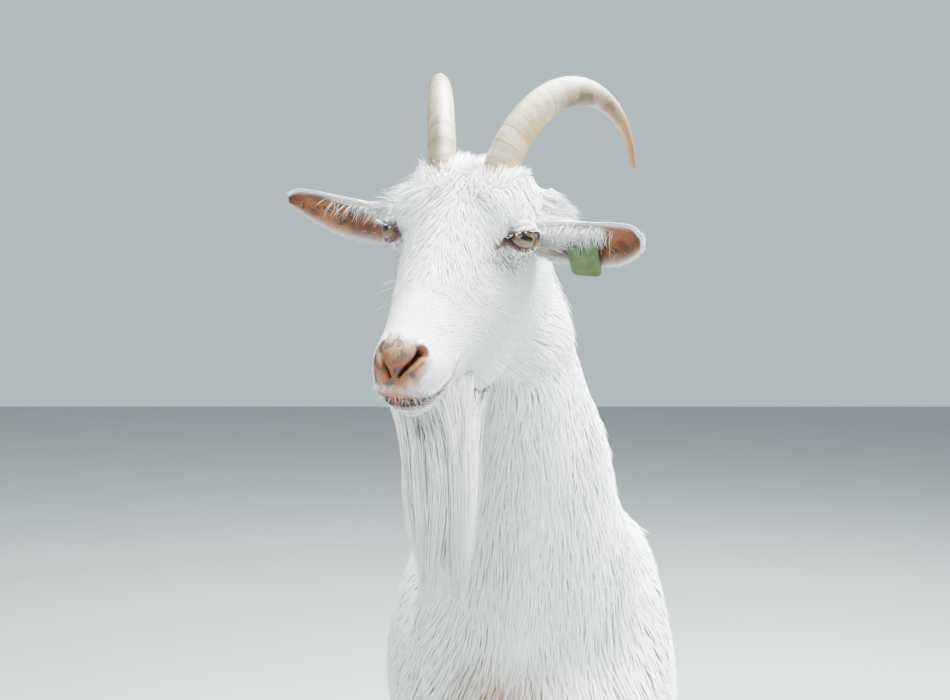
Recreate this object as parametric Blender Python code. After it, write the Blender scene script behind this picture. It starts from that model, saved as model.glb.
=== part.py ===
"""A horned, bearded white dairy goat at life size, standing on all four feet with its head raised.

The goat faces -Y, its own left side is +X, and up is +Z. The flesh is modelled whole, as rounded
lofts and muscle masses fused by a voxel remesh, and then parted with thin cuts into the pieces
that a person would name. Horns, eyes, ears, claws, beard and the ear tag are pieces of their own.
"""

import math

import bmesh
import bpy
from mathutils import Matrix, Vector

# ---------------------------------------------------------------- driving dimensions, in metres
GAP = 0.0003                 # clearance between touching pieces
WITHERS_HEIGHT = 0.80        # floor to the top of the shoulders
BELLY_HEIGHT = 0.40          # floor to the underside of the barrel
BREAST_Y = -0.390            # foremost point of the breast
BUTTOCK_Y = 0.470            # rearmost point of the buttocks
BARREL_HALF = 0.178          # half the width of the barrel
CORONET = 0.046              # height of the top edge of the claws

FORE_X = 0.084               # how far out the forefeet stand
FORE_Y = -0.235              # where the forelegs stand
HIND_X = 0.094
HIND_Y = 0.415

HEAD_ORIGIN = Vector((-0.050, -0.360, 1.090))   # joint of skull and neck
HEAD_TURN = math.radians(-22.0)                 # towards the goat's right
HEAD_NOD = math.radians(27.2)                   # nose down
HEAD_ROLL = math.radians(4.7)                   # left side lower

EYE_RADIUS = 0.0145
EYE_CENTRE = (0.0906, 0.0243, 0.0565)           # forward, up, out
HORN_LENGTH = 0.262
HORN_SUNK = 0.012                               # how deep the horn's base sits in the head
EAR_THICK = 0.0046
EAR_SAG = 0.016                                 # how far the middle of an ear hangs below its line
TAG_THICK = 0.0022
TAG_ALONG = 0.45                                # where along the ear the tag is pinned
TAG_STAND = 0.0165                              # flap's height over the bottom of the ear's hollow
TAG_PIN_RADIUS = 0.0030

FLESH_VOXEL = 0.0050
FLESH_TRIANGLES = 4500
BODY_SOFTENING = 130         # rounds of smoothing over the shoulders, barrel and thighs
HEAD_CARE = 0.0004            # how much finer the head stays than the body when thinned

HEAD_FRAME = (Matrix.Translation(HEAD_ORIGIN)
              @ Matrix.Rotation(HEAD_TURN, 4, "Z")
              @ Matrix.Rotation(HEAD_NOD, 4, "X")
              @ Matrix.Rotation(HEAD_ROLL, 4, "Y"))


def in_head(forward, up, out):
    """World place of a point given in the head's own directions; out is towards the goat's left."""
    return HEAD_FRAME @ Vector((out, -forward, up))


# ---------------------------------------------------------------- general tools
def clear_scene():
    for thing in list(bpy.data.objects):
        bpy.data.objects.remove(thing, do_unlink=True)


def material(name, colour, roughness):
    made = bpy.data.materials.new(name)
    made.use_nodes = True
    shader = made.node_tree.nodes["Principled BSDF"]
    shader.inputs["Base Color"].default_value = (*colour, 1.0)
    shader.inputs["Roughness"].default_value = roughness
    shader.inputs["Metallic"].default_value = 0.0
    return made


def new_object(name, bm):
    """An object from a bmesh, with its faces pointing out."""
    bmesh.ops.recalc_face_normals(bm, faces=bm.faces)
    mesh = bpy.data.meshes.new(name)
    bm.to_mesh(mesh)
    bm.free()
    thing = bpy.data.objects.new(name, mesh)
    bpy.context.scene.collection.objects.link(thing)
    return thing


def smooth_rows(rows, steps):
    """More stations between the given ones, along a Catmull-Rom curve."""
    out = []
    for i in range(len(rows) - 1):
        before = rows[max(i - 1, 0)]
        start, end = rows[i], rows[i + 1]
        after = rows[min(i + 2, len(rows) - 1)]
        for k in range(steps):
            t = k / steps
            out.append(tuple(
                0.5 * (2 * b + (c - a) * t + (2 * a - 5 * b + 4 * c - d) * t * t
                       + (3 * b - a - 3 * c + d) * t ** 3)
                for a, b, c, d in zip(before, start, end, after)))
    out.append(tuple(rows[-1]))
    return out


def loft(name, rings):
    """A closed body over rings of points, each end closed by a fan."""
    bm = bmesh.new()
    loops = [[bm.verts.new(p) for p in ring] for ring in rings]
    count = len(rings[0])
    for low, high in zip(loops, loops[1:]):
        for i in range(count):
            j = (i + 1) % count
            bm.faces.new((low[i], low[j], high[j], high[i]))
    for ring, loop in ((rings[0], loops[0]), (rings[-1], loops[-1])):
        middle = bm.verts.new(sum((Vector(p) for p in ring), Vector()) / count)
        for i in range(count):
            bm.faces.new((loop[i], loop[(i + 1) % count], middle))
    return new_object(name, bm)


def squircle(angle, roundness):
    """Unit outline between an ellipse (2) and a box (higher)."""
    c, s = math.cos(angle), math.sin(angle)
    return (math.copysign(abs(c) ** (2 / roundness), c), math.copysign(abs(s) ** (2 / roundness), s))


def limb(name, rows, sides=20, steps=5):
    """A round limb along stations (x, y, z, half width across, half depth fore and aft)."""
    rows = smooth_rows(rows, steps)
    rings = []
    for i, (x, y, z, across, deep) in enumerate(rows):
        before, after = rows[max(i - 1, 0)], rows[min(i + 1, len(rows) - 1)]
        along = (Vector(after[:3]) - Vector(before[:3])).normalized()
        side = (Vector((1, 0, 0)) - along * along.x).normalized()
        depth = along.cross(side)
        ring = []
        for k in range(sides):
            angle = 2 * math.pi * k / sides
            ring.append(Vector((x, y, z)) + side * across * math.cos(angle)
                        + depth * deep * math.sin(angle))
        rings.append(ring)
    return loft(name, rings)


def mass(name, frame, centre, radii, tilt=0.0):
    """An egg-shaped muscle or bone mass; tilt leans it about the frame's X axis."""
    bm = bmesh.new()
    bmesh.ops.create_uvsphere(bm, u_segments=20, v_segments=12, radius=1.0)
    place = (frame @ Matrix.Translation(centre) @ Matrix.Rotation(tilt, 4, "X")
             @ Matrix.Diagonal((*radii, 1.0)))
    bmesh.ops.transform(bm, matrix=place, verts=bm.verts)
    return new_object(name, bm)


def join(name, things):
    """Several closed bodies as one mesh."""
    bm = bmesh.new()
    for thing in things:
        copy = thing.data.copy()
        copy.transform(thing.matrix_world)
        bm.from_mesh(copy)
        bpy.data.meshes.remove(copy)
        bpy.data.objects.remove(thing, do_unlink=True)
    return new_object(name, bm)


def apply_modifiers(thing):
    graph = bpy.context.evaluated_depsgraph_get()
    mesh = bpy.data.meshes.new_from_object(thing.evaluated_get(graph))
    thing.modifiers.clear()
    old = thing.data
    thing.data = mesh
    bpy.data.meshes.remove(old)


def keep_largest(thing):
    """Drops crumbs that a cut leaves beside the main body."""
    bm = bmesh.new()
    bm.from_mesh(thing.data)
    unseen = set(bm.verts)
    islands = []
    while unseen:
        stack = [unseen.pop()]
        island = list(stack)
        while stack:
            for edge in stack.pop().link_edges:
                for v in edge.verts:
                    if v in unseen:
                        unseen.remove(v)
                        island.append(v)
                        stack.append(v)
        islands.append(island)
    islands.sort(key=lambda island: max(v.co.z for v in island) - min(v.co.z for v in island))
    for island in islands[:-1]:
        bmesh.ops.delete(bm, geom=island, context="VERTS")
    bm.to_mesh(thing.data)
    bm.free()


def boolean(thing, cutter, operation):
    cut = thing.modifiers.new(operation.lower(), "BOOLEAN")
    cut.solver = "EXACT"
    cut.operation = operation
    cut.object = cutter
    apply_modifiers(thing)
    keep_largest(thing)


def duplicate(thing, name):
    copy = bpy.data.objects.new(name, thing.data.copy())
    bpy.context.scene.collection.objects.link(copy)
    return copy


def discard(*things):
    for thing in things:
        bpy.data.objects.remove(thing, do_unlink=True)


def swollen(thing, name, by):
    """A copy of a body with every face moved out by a clearance."""
    copy = duplicate(thing, name)
    bm = bmesh.new()
    bm.from_mesh(copy.data)
    bm.normal_update()
    moves = [(v, v.normal * by * v.calc_shell_factor()) for v in bm.verts]
    for v, move in moves:
        v.co += move
    bm.to_mesh(copy.data)
    bm.free()
    return copy


def cell(name, frame, low, high, grow=0.0):
    """A box between two corners in a frame, grown by a clearance."""
    bm = bmesh.new()
    bmesh.ops.create_cube(bm, size=1.0)
    size = [h - l + 2 * grow for l, h in zip(low, high)]
    middle = [(h + l) / 2 for l, h in zip(low, high)]
    place = frame @ Matrix.Translation(middle) @ Matrix.Diagonal((*size, 1.0))
    bmesh.ops.transform(bm, matrix=place, verts=bm.verts)
    return new_object(name, bm)


# ---------------------------------------------------------------- flesh
def trunk_loft():
    """Barrel from breast to buttocks: y, top, bottom, half width, roundness, narrowing upwards."""
    top, belly, wide = WITHERS_HEIGHT, BELLY_HEIGHT, BARREL_HALF
    rows = smooth_rows([
        (BREAST_Y, top - 0.175, belly + 0.150, 0.040, 2.0, 0.00),
        (BREAST_Y + 0.03, top - 0.130, belly + 0.085, 0.095, 2.0, 0.05),
        (BREAST_Y + 0.09, top - 0.060, belly + 0.045, 0.128, 2.1, 0.16),
        (BREAST_Y + 0.17, top, belly + 0.030, 0.142, 2.1, 0.28),
        (BREAST_Y + 0.27, top - 0.004, belly + 0.016, 0.158, 2.1, 0.26),
        (BREAST_Y + 0.42, top - 0.014, belly, wide, 2.1, 0.20),
        (BREAST_Y + 0.58, top - 0.014, belly, wide - 0.002, 2.1, 0.18),
        (BUTTOCK_Y - 0.19, top - 0.004, belly + 0.035, 0.160, 2.2, 0.16),
        (BUTTOCK_Y - 0.12, top - 0.010, belly + 0.080, 0.140, 2.3, 0.12),
        (BUTTOCK_Y - 0.045, top - 0.040, belly + 0.150, 0.112, 2.3, 0.10),
        (BUTTOCK_Y, top - 0.085, belly + 0.215, 0.070, 2.2, 0.10),
    ], 5)
    rings = []
    for y, high, low, half, roundness, narrowing in rows:
        ring = []
        for k in range(32):
            across, up = squircle(2 * math.pi * k / 32, roundness)
            ring.append((half * across * (1 - narrowing * up),
                         y, (high + low) / 2 + (high - low) / 2 * up))
        rings.append(ring)
    return loft("trunk_loft", rings)


def neck_loft():
    """Raised neck, bending to the goat's right on its way up to the skull."""
    top = WITHERS_HEIGHT
    turn = HEAD_ORIGIN.x
    return limb("neck_loft", [
        (0.0, -0.190, top - 0.230, 0.118, 0.150),
        (0.0, -0.238, top - 0.130, 0.110, 0.140),
        (turn * 0.04, -0.284, top - 0.035, 0.093, 0.115),
        (turn * 0.24, -0.316, top + 0.055, 0.076, 0.090),
        (turn * 0.52, -0.333, top + 0.135, 0.066, 0.075),
        (turn * 0.80, -0.342, top + 0.195, 0.061, 0.064),
        (turn * 1.00, -0.350, top + 0.245, 0.046, 0.046),
    ], sides=28)


def foreleg_parts(side):
    x, y = FORE_X, FORE_Y
    leg = limb("foreleg", [
        (side * 0.100, y + 0.035, 0.560, 0.034, 0.060),
        (side * 0.106, y + 0.038, 0.480, 0.036, 0.052),
        (side * (x + 0.014), y + 0.026, 0.420, 0.031, 0.041),
        (side * (x + 0.006), y + 0.012, 0.345, 0.025, 0.030),
        (side * x, y, 0.285, 0.0215, 0.0250),
        (side * x, y - 0.002, 0.248, 0.0225, 0.0250),
        (side * x, y + 0.002, 0.214, 0.0180, 0.0195),
        (side * x, y + 0.002, 0.150, 0.0150, 0.0175),
        (side * x, y + 0.003, 0.112, 0.0175, 0.0215),
        (side * x, y, 0.090, 0.0205, 0.0225),
        (side * x, y - 0.014, 0.062, 0.0205, 0.0200),
        (side * x, y - 0.024, 0.032, 0.0230, 0.0220),
    ])
    return [
        leg,
        mass("shoulder", Matrix(), (side * 0.082, -0.235, 0.640), (0.056, 0.092, 0.160),
             math.radians(-20)),
        mass("upper_arm", Matrix(), (side * 0.100, -0.262, 0.530), (0.047, 0.100, 0.055),
             math.radians(-38)),
        mass("elbow", Matrix(), (side * 0.104, FORE_Y + 0.070, 0.475), (0.024, 0.030, 0.034)),
        mass("knee_front", Matrix(), (side * x, y - 0.010, 0.256), (0.0200, 0.0190, 0.0290)),
        *dewclaws(side * x, y + 0.024),
    ]


def hindleg_parts(side):
    x, y = HIND_X, HIND_Y
    leg = limb("hindleg", [
        (side * 0.094, 0.345, 0.660, 0.058, 0.110),
        (side * 0.104, 0.330, 0.580, 0.058, 0.112),
        (side * 0.116, 0.305, 0.500, 0.050, 0.094),
        (side * 0.114, 0.308, 0.430, 0.040, 0.062),
        (side * (x + 0.010), 0.352, 0.370, 0.030, 0.042),
        (side * (x + 0.003), 0.398, 0.322, 0.0230, 0.0300),
        (side * x, y + 0.010, 0.290, 0.0215, 0.0300),
        (side * x, y + 0.010, 0.250, 0.0185, 0.0245),
        (side * x, y + 0.005, 0.170, 0.0155, 0.0190),
        (side * x, y + 0.004, 0.120, 0.0175, 0.0210),
        (side * x, y, 0.096, 0.0205, 0.0225),
        (side * x, y - 0.015, 0.064, 0.0205, 0.0200),
        (side * x, y - 0.026, 0.032, 0.0230, 0.0220),
    ])
    return [
        leg,
        mass("hip", Matrix(), (side * 0.078, 0.335, 0.685), (0.056, 0.120, 0.095)),
        mass("buttock", Matrix(), (side * 0.072, 0.410, 0.615), (0.052, 0.060, 0.110)),
        mass("stifle", Matrix(), (side * 0.128, 0.245, 0.470), (0.034, 0.050, 0.060)),
        mass("hock_point", Matrix(), (side * x, 0.440, 0.322), (0.0150, 0.0180, 0.0300),
             math.radians(18)),
        *dewclaws(side * x, y + 0.024),
    ]


def dewclaws(x, y):
    """The two small horny toes behind a fetlock."""
    return [mass("dewclaw", Matrix(), (x + out * 0.0105, y - 0.001, 0.078),
                 (0.0070, 0.0085, 0.0115), math.radians(25)) for out in (-1, 1)]


def head_loft():
    """Skull, cheeks and muzzle: forward, top, bottom, half width, roundness, narrowing upwards."""
    rows = smooth_rows([
        (-0.034, 0.008, -0.040, 0.026, 2.0, 0.00),
        (-0.020, 0.028, -0.070, 0.046, 2.0, 0.05),
        (0.010, 0.050, -0.098, 0.058, 2.1, 0.08),
        (0.040, 0.069, -0.110, 0.061, 2.2, 0.04),
        (0.075, 0.069, -0.110, 0.061, 2.3, 0.00),
        (0.105, 0.057, -0.104, 0.056, 2.3, 0.01),
        (0.135, 0.043, -0.093, 0.0475, 2.3, 0.06),
        (0.165, 0.030, -0.080, 0.0400, 2.3, 0.12),
        (0.195, 0.0170, -0.073, 0.0340, 2.3, 0.18),
        (0.218, 0.0075, -0.072, 0.0300, 2.3, 0.16),
        (0.236, -0.0030, -0.068, 0.0275, 2.3, 0.08),
        (0.249, -0.0130, -0.058, 0.0235, 2.4, 0.04),
        (0.2575, -0.0250, -0.048, 0.0120, 2.0, 0.00),
    ], 4)
    rings = []
    for forward, high, low, half, roundness, narrowing in rows:
        ring = []
        for k in range(28):
            across, up = squircle(2 * math.pi * k / 28, roundness)
            out = half * across * (1 - narrowing * up)
            ring.append(in_head(forward, (high + low) / 2 + (high - low) / 2 * up, out))
        rings.append(ring)
    return loft("head_loft", rings)


def head_mass(name, forward, up, out, radii, tilt=0.0):
    """Radii are across, fore and aft, and up in the head's own directions."""
    return mass(name, HEAD_FRAME, (out, -forward, up), radii, tilt)


def head_parts():
    parts = [
        head_loft(),
        head_mass("poll", 0.036, 0.044, 0.0, (0.040, 0.034, 0.027)),
        head_mass("nose_pad", 0.2360, -0.0130, 0.0, (0.0230, 0.0185, 0.0150), math.radians(30)),
        head_mass("chin", 0.2230, -0.0600, 0.0, (0.0225, 0.0250, 0.0190)),
        head_mass("upper_lip", 0.2410, -0.0350, 0.0, (0.0270, 0.0195, 0.0145)),
    ]
    for side in (-1, 1):
        parts += [
            head_mass("orbit", 0.0850, 0.0293, side * 0.0490, (0.0200, 0.0270, 0.0225)),
            head_mass("brow", 0.0760, 0.0460, side * 0.0380, (0.0230, 0.0300, 0.0160)),
            head_mass("horn_boss", 0.0420, 0.0525, side * 0.0275, (0.0245, 0.0270, 0.0220)),
            head_mass("cheek", 0.0620, -0.0420, side * 0.0400, (0.0260, 0.0560, 0.0570)),
            head_mass("jaw", 0.1000, -0.0830, side * 0.0240, (0.0220, 0.0660, 0.0240),
                      math.radians(8)),
            head_mass("lip_pad", 0.2220, -0.0300, side * 0.0180, (0.0150, 0.0270, 0.0200)),
            head_mass("ear_base", 0.0400, 0.0220, side * 0.0540, (0.0210, 0.0230, 0.0240)),
        ]
    return parts


def tail_parts():
    """Short tail carried up, widened by its hair."""
    root = WITHERS_HEIGHT - 0.066
    return [limb("tail", [
        (0.0, 0.390, root, 0.034, 0.030),
        (0.0, 0.440, root + 0.014, 0.030, 0.022),
        (0.0, 0.474, root + 0.036, 0.032, 0.017),
        (0.0, 0.500, root + 0.068, 0.030, 0.014),
        (0.0, 0.508, root + 0.098, 0.020, 0.011),
        (0.0, 0.504, root + 0.120, 0.007, 0.006),
    ], sides=14)]


def blend_body(flesh):
    """Softens the muscle masses of trunk and neck, and leaves the head, lower legs and tail crisp."""
    group = flesh.vertex_groups.new(name="soft")
    to_head = HEAD_FRAME.inverted()
    for v in flesh.data.vertices:
        near = to_head @ v.co
        keep = max(0.0, min(1.0, (v.co.z - 0.36) / 0.12, (0.445 - v.co.y) / 0.03))
        if near.y < 0.05 and near.z > -0.13:
            keep = 0.0
        group.add([v.index], keep, "REPLACE")
    soft = flesh.modifiers.new("soft", "SMOOTH")
    soft.factor = 0.5
    soft.iterations = BODY_SOFTENING
    soft.vertex_group = "soft"
    apply_modifiers(flesh)


def flesh_body():
    """All soft parts fused to one smooth closed surface and thinned to its share of triangles."""
    parts = [trunk_loft(), neck_loft(), *tail_parts(), *head_parts()]
    for side in (-1, 1):
        parts += foreleg_parts(side)
        parts += hindleg_parts(side)
    parts.append(mass("brisket", Matrix(), (0.0, -0.290, 0.510), (0.075, 0.100, 0.070)))
    parts.append(mass("sheath", Matrix(), (0.0, 0.150, BELLY_HEIGHT + 0.004), (0.020, 0.050, 0.022)))
    flesh = join("flesh", parts)
    fuse = flesh.modifiers.new("fuse", "REMESH")
    fuse.mode = "VOXEL"
    fuse.voxel_size = FLESH_VOXEL
    even = flesh.modifiers.new("even", "SMOOTH")
    even.factor = 0.5
    even.iterations = 6
    apply_modifiers(flesh)
    keep_largest(flesh)
    blend_body(flesh)
    group = flesh.vertex_groups.new(name="body")
    to_head = HEAD_FRAME.inverted()
    for v in flesh.data.vertices:
        near = to_head @ v.co
        on_head = near.y < 0.03 and near.z > -0.12
        group.add([v.index], 0.05 if on_head else 1.0, "REPLACE")
    thin = flesh.modifiers.new("thin", "DECIMATE")
    thin.ratio = FLESH_TRIANGLES / (2 * len(flesh.data.polygons))
    thin.use_collapse_triangulate = True
    thin.vertex_group = "body"
    thin.vertex_group_factor = HEAD_CARE
    apply_modifiers(flesh)
    return flesh


# ---------------------------------------------------------------- cells that part the flesh
NECK_BASE = Vector((0.0, -0.300, 0.725))
NECK_CUT = Matrix.Translation(NECK_BASE) @ Matrix.Rotation(math.radians(45), 4, "X")
FAR = 1.5                    # longer than any piece


def leg_cell(name, side, y_low, y_high, inner, height, grow=0.0):
    """One side's space below a plane that rises outwards at 45 degrees from an inner edge."""
    lift = height + grow * math.sqrt(2)
    outline = [(0.0, -0.1), (0.5, -0.1), (0.5, lift + 0.5 - inner), (inner, lift), (0.0, lift)]
    rings = [[(side * x, y, z) for x, z in outline] for y in (y_low - grow, y_high + grow)]
    return loft(name, rings)


def slab(name, low, high, grow=0.0):
    """A level layer of the whole animal between two heights."""
    return cell(name, Matrix(), (-FAR, -FAR, low), (FAR, FAR, high), grow)


def taken(flesh, name, box, rest_box):
    """Splits a body: what is inside box becomes a new piece, and rest_box is cut from the body."""
    piece = duplicate(flesh, name)
    boolean(piece, box, "INTERSECT")
    boolean(flesh, rest_box, "DIFFERENCE")
    discard(box, rest_box)
    return piece


# ---------------------------------------------------------------- horn, claws, eyes, ears, beard
def horn_path(steps):
    """Centre line of the left horn in head directions: up, back, out and down again."""
    step = HORN_LENGTH / steps
    rise, splay, roll = math.radians(49), math.radians(15.5), math.radians(-26.5)
    along = Vector((math.cos(rise) * math.sin(splay), math.cos(rise) * math.cos(splay),
                    math.sin(rise)))
    back = Vector((0, 1, 0))
    bend = (back - along * back.dot(along)).normalized()
    side = along.cross(bend)
    bend = bend * math.cos(roll) + side * math.sin(roll)
    point = Vector((0.0272, -0.0462, 0.0680)) - along * HORN_SUNK
    rows = []
    travelled = 0.0
    for _ in range(steps + 1):
        rows.append((point.copy(), along.copy(), bend.copy()))
        curl = (6.6 + 27.0 * travelled) * step
        along, bend = (along * math.cos(curl) + bend * math.sin(curl),
                       bend * math.cos(curl) - along * math.sin(curl))
        side = along.cross(bend)
        twist = -0.68 * step
        bend = bend * math.cos(twist) + side * math.sin(twist)
        point = point + along * step
        travelled += step
    return rows


def horn(name, side, grow=0.0):
    """Oval horn with a keel along its front, tapering to a blunt point."""
    rows = horn_path(15)
    rings = []
    for i, (point, along, bend) in enumerate(rows):
        t = i / (len(rows) - 1)
        deep = 0.0192 * (1 - 0.80 * t ** 1.5) * (1 - 0.35 * max(0.0, t - 0.8) / 0.2) + grow
        wide = deep * (0.68 + 0.10 * t)
        across = along.cross(bend)
        if i == 0:
            point = point - along * grow
        ring = []
        for k in range(10):
            angle = 2 * math.pi * k / 10
            reach = -bend * deep * math.cos(angle)
            keel = 1.0 - 0.16 * max(0.0, math.cos(angle)) ** 2
            local = point + reach + across * wide * keel * math.sin(angle)
            ring.append(HEAD_FRAME @ Vector((side * local.x, local.y, local.z)))
        rings.append(ring)
    return loft(name, rings)


def claw(name, x, y, side):
    """One of a foot's two claws: flat sole, pointed toe, straight inner wall. Side is outwards."""
    rows = []
    for height, toe, heel, half in ((0.0, 0.0350, 0.0280, 0.0120), (0.0025, 0.0362, 0.0290, 0.0130),
                                    (0.0240, 0.0285, 0.0270, 0.0122),
                                    (CORONET - GAP, 0.0200, 0.0225, 0.0108)):
        ring = []
        for k in range(12):
            angle = 2 * math.pi * k / 12
            c, s = math.cos(angle), math.sin(angle)
            reach = toe * abs(s) ** 0.9 if s > 0 else heel * abs(s)
            narrow = 1 - 0.30 * max(0.0, s) ** 2
            across = max(-0.72, c) * narrow
            ring.append((x + side * (0.0106 + half * across),
                         y - math.copysign(reach, s), height))
        rows.append(ring)
    return loft(name, rows)


def eyeball(name, side, grow=0.0):
    bm = bmesh.new()
    bmesh.ops.create_icosphere(bm, subdivisions=2, radius=EYE_RADIUS + grow)
    forward, up, out = EYE_CENTRE
    place = in_head(forward, up, side * out)
    bmesh.ops.translate(bm, vec=place, verts=bm.verts)
    return new_object(name, bm)


def ear_frame(side):
    """Ear axis from root to tip, the way its hollow faces, and its length."""
    root = Vector((side * 0.052, -0.048, 0.018))
    tip = Vector((0.1635, -0.112, 0.0365)) if side > 0 else Vector((-0.1850, -0.0545, 0.0270))
    along = (tip - root).normalized()
    faces = Vector((0.0, -0.98, -0.16))
    faces = (faces - along * faces.dot(along)).normalized()
    across = along.cross(faces)
    return root, along, faces, across, (tip - root).length


def ear_sections(side):
    """Sections along an ear: middle of its arc, radius, half the arc's angle, and thickness."""
    root, along, faces, across, length = ear_frame(side)
    sections = []
    for at, half, curl in smooth_rows([
            (-0.05, 0.0125, 150.0), (0.10, 0.0150, 125.0), (0.25, 0.0195, 85.0),
            (TAG_ALONG, 0.0220, 56.0), (0.70, 0.0205, 46.0), (0.90, 0.0140, 38.0),
            (1.00, 0.0050, 30.0)], 2):
        spread = math.radians(curl)
        radius = half / math.sin(min(spread, math.pi / 2))
        sag = EAR_SAG * side * math.sin(math.pi * max(0.0, at))
        middle = root + along * (at * length) + faces * (radius * 0.5) + across * sag
        sections.append((middle, radius, spread, EAR_THICK * (1 - 0.35 * max(0.0, at - 0.6))))
    return sections


def ear(name, side):
    """A cupped leaf: rolled into a tube at its root, opening out, with a rounded tip."""
    _, _, faces, across, _ = ear_frame(side)
    rings = []
    arc = 5
    for middle, radius, spread, thick in ear_sections(side):
        ring = []
        for k in range(arc + 1):
            angle = -spread + 2 * spread * k / arc
            reach = radius + thick / 2
            ring.append(middle - faces * reach * math.cos(angle) + across * reach * math.sin(angle))
        for k in range(arc, -1, -1):
            angle = (-spread + 2 * spread * k / arc) * 0.97
            reach = radius - thick / 2
            ring.append(middle - faces * reach * math.cos(angle) + across * reach * math.sin(angle))
        rings.append([HEAD_FRAME @ p for p in ring])
    return loft(name, rings)


def beard():
    """Long straight beard hanging from the chin and the underside of the jaw."""
    top = in_head(0.176, -0.066, 0.004)
    return limb("beard", [
        (top.x, top.y, top.z + 0.004, 0.0270, 0.0330),
        (top.x + 0.001, top.y, top.z - 0.030, 0.0325, 0.0320),
        (top.x + 0.001, top.y + 0.002, top.z - 0.085, 0.0340, 0.0280),
        (top.x, top.y + 0.004, top.z - 0.135, 0.0320, 0.0220),
        (top.x - 0.001, top.y + 0.006, top.z - 0.180, 0.0260, 0.0150),
        (top.x - 0.002, top.y + 0.008, top.z - 0.212, 0.0120, 0.0070),
    ], sides=12, steps=2)


def tag_frame():
    """Frame at the bottom of the left ear's hollow: X along the ear, Y down it, Z out of the hollow."""
    _, along, faces, across, _ = ear_frame(1)
    middle, radius, _, thick = ear_sections(1)[6]
    floor = middle - faces * (radius - thick / 2)
    return HEAD_FRAME @ Matrix.Translation(floor) @ Matrix((
        (along.x, across.x, faces.x, 0.0), (along.y, across.y, faces.y, 0.0),
        (along.z, across.z, faces.z, 0.0), (0.0, 0.0, 0.0, 1.0)))


def turned(name, frame, profile, sides):
    """A round piece from (radius, height) points about the frame's Z axis."""
    rings = [[frame @ Vector((r * math.cos(2 * math.pi * k / sides),
                              r * math.sin(2 * math.pi * k / sides), h)) for k in range(sides)]
             for r, h in profile]
    return loft(name, rings)


# ---------------------------------------------------------------- assembly
def build_flesh(colours):
    flesh = flesh_body()
    pieces = {}
    pieces["head"] = taken(
        flesh, "head",
        cell("box", HEAD_FRAME, (-0.20, -0.35, -0.112), (0.20, 0.002, 0.14)),
        cell("rest", HEAD_FRAME, (-0.20, -0.35, -0.112), (0.20, 0.002, 0.14), GAP))
    pieces["neck"] = taken(
        flesh, "neck",
        cell("box", NECK_CUT, (-0.4, -0.5, 0.0), (0.4, 0.5, 0.8)),
        cell("rest", NECK_CUT, (-0.4, -0.5, 0.0), (0.4, 0.5, 0.8), GAP))
    pieces["tail"] = taken(
        flesh, "tail",
        cell("box", Matrix(), (-0.1, 0.462, 0.715), (0.1, 0.6, 0.95)),
        cell("rest", Matrix(), (-0.1, 0.462, 0.715), (0.1, 0.6, 0.95), GAP))
    for side, word in ((1, "left"), (-1, "right")):
        for kind, y_low, y_high, inner, height, joint in (
                ("foreleg", -0.36, -0.120, 0.050, 0.395, 0.256),
                ("hindleg", 0.185, 0.70, 0.030, 0.440, 0.310)):
            args = (side, y_low, y_high, inner, height)
            leg = taken(flesh, f"{kind}_upper_{word}", leg_cell("box", *args),
                        leg_cell("rest", *args, GAP))
            sole = slab("sole", -1.0, CORONET)
            boolean(leg, sole, "DIFFERENCE")
            discard(sole)
            lower = taken(leg, f"{kind}_lower_{word}", slab("box", -1.0, joint),
                          slab("rest", -1.0, joint, GAP))
            pieces[leg.name] = leg
            pieces[lower.name] = lower
    flesh.name = "trunk"
    pieces["trunk"] = flesh
    for piece in pieces.values():
        piece.data.materials.clear()
        piece.data.materials.append(colours["coat"])
    return pieces


def build_head_fittings(pieces, colours):
    head = pieces["head"]
    for side, word in ((1, "left"), (-1, "right")):
        socket = eyeball("socket", side, GAP)
        boolean(head, socket, "DIFFERENCE")
        discard(socket)
        horn_socket = horn("horn_socket", side, GAP)
        boolean(head, horn_socket, "DIFFERENCE")
        discard(horn_socket)
    around = swollen(head, "around", GAP)
    for side, word in ((1, "left"), (-1, "right")):
        pieces[f"eye_{word}"] = eyeball(f"eye_{word}", side)
        pieces[f"eye_{word}"].data.materials.append(colours["eye"])
        pieces[f"horn_{word}"] = horn(f"horn_{word}", side)
        pieces[f"horn_{word}"].data.materials.append(colours["horn"])
        leaf = ear(f"ear_{word}", side)
        boolean(leaf, around, "DIFFERENCE")
        leaf.data.materials.clear()
        leaf.data.materials.append(colours["ear"])
        pieces[leaf.name] = leaf
    hair = beard()
    boolean(hair, around, "DIFFERENCE")
    hair.data.materials.clear()
    hair.data.materials.append(colours["beard"])
    pieces["beard"] = hair
    discard(around)


def build_claws(pieces, colours):
    for side, word in ((1, "left"), (-1, "right")):
        for kind, x, y in (("fore", FORE_X, FORE_Y - 0.024), ("hind", HIND_X, HIND_Y - 0.026)):
            for place, out in (("outer", 1), ("inner", -1)):
                name = f"claw_{kind}_{word}_{place}"
                pieces[name] = claw(name, side * x, y, side * out)
                pieces[name].data.materials.append(colours["claw"])


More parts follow.
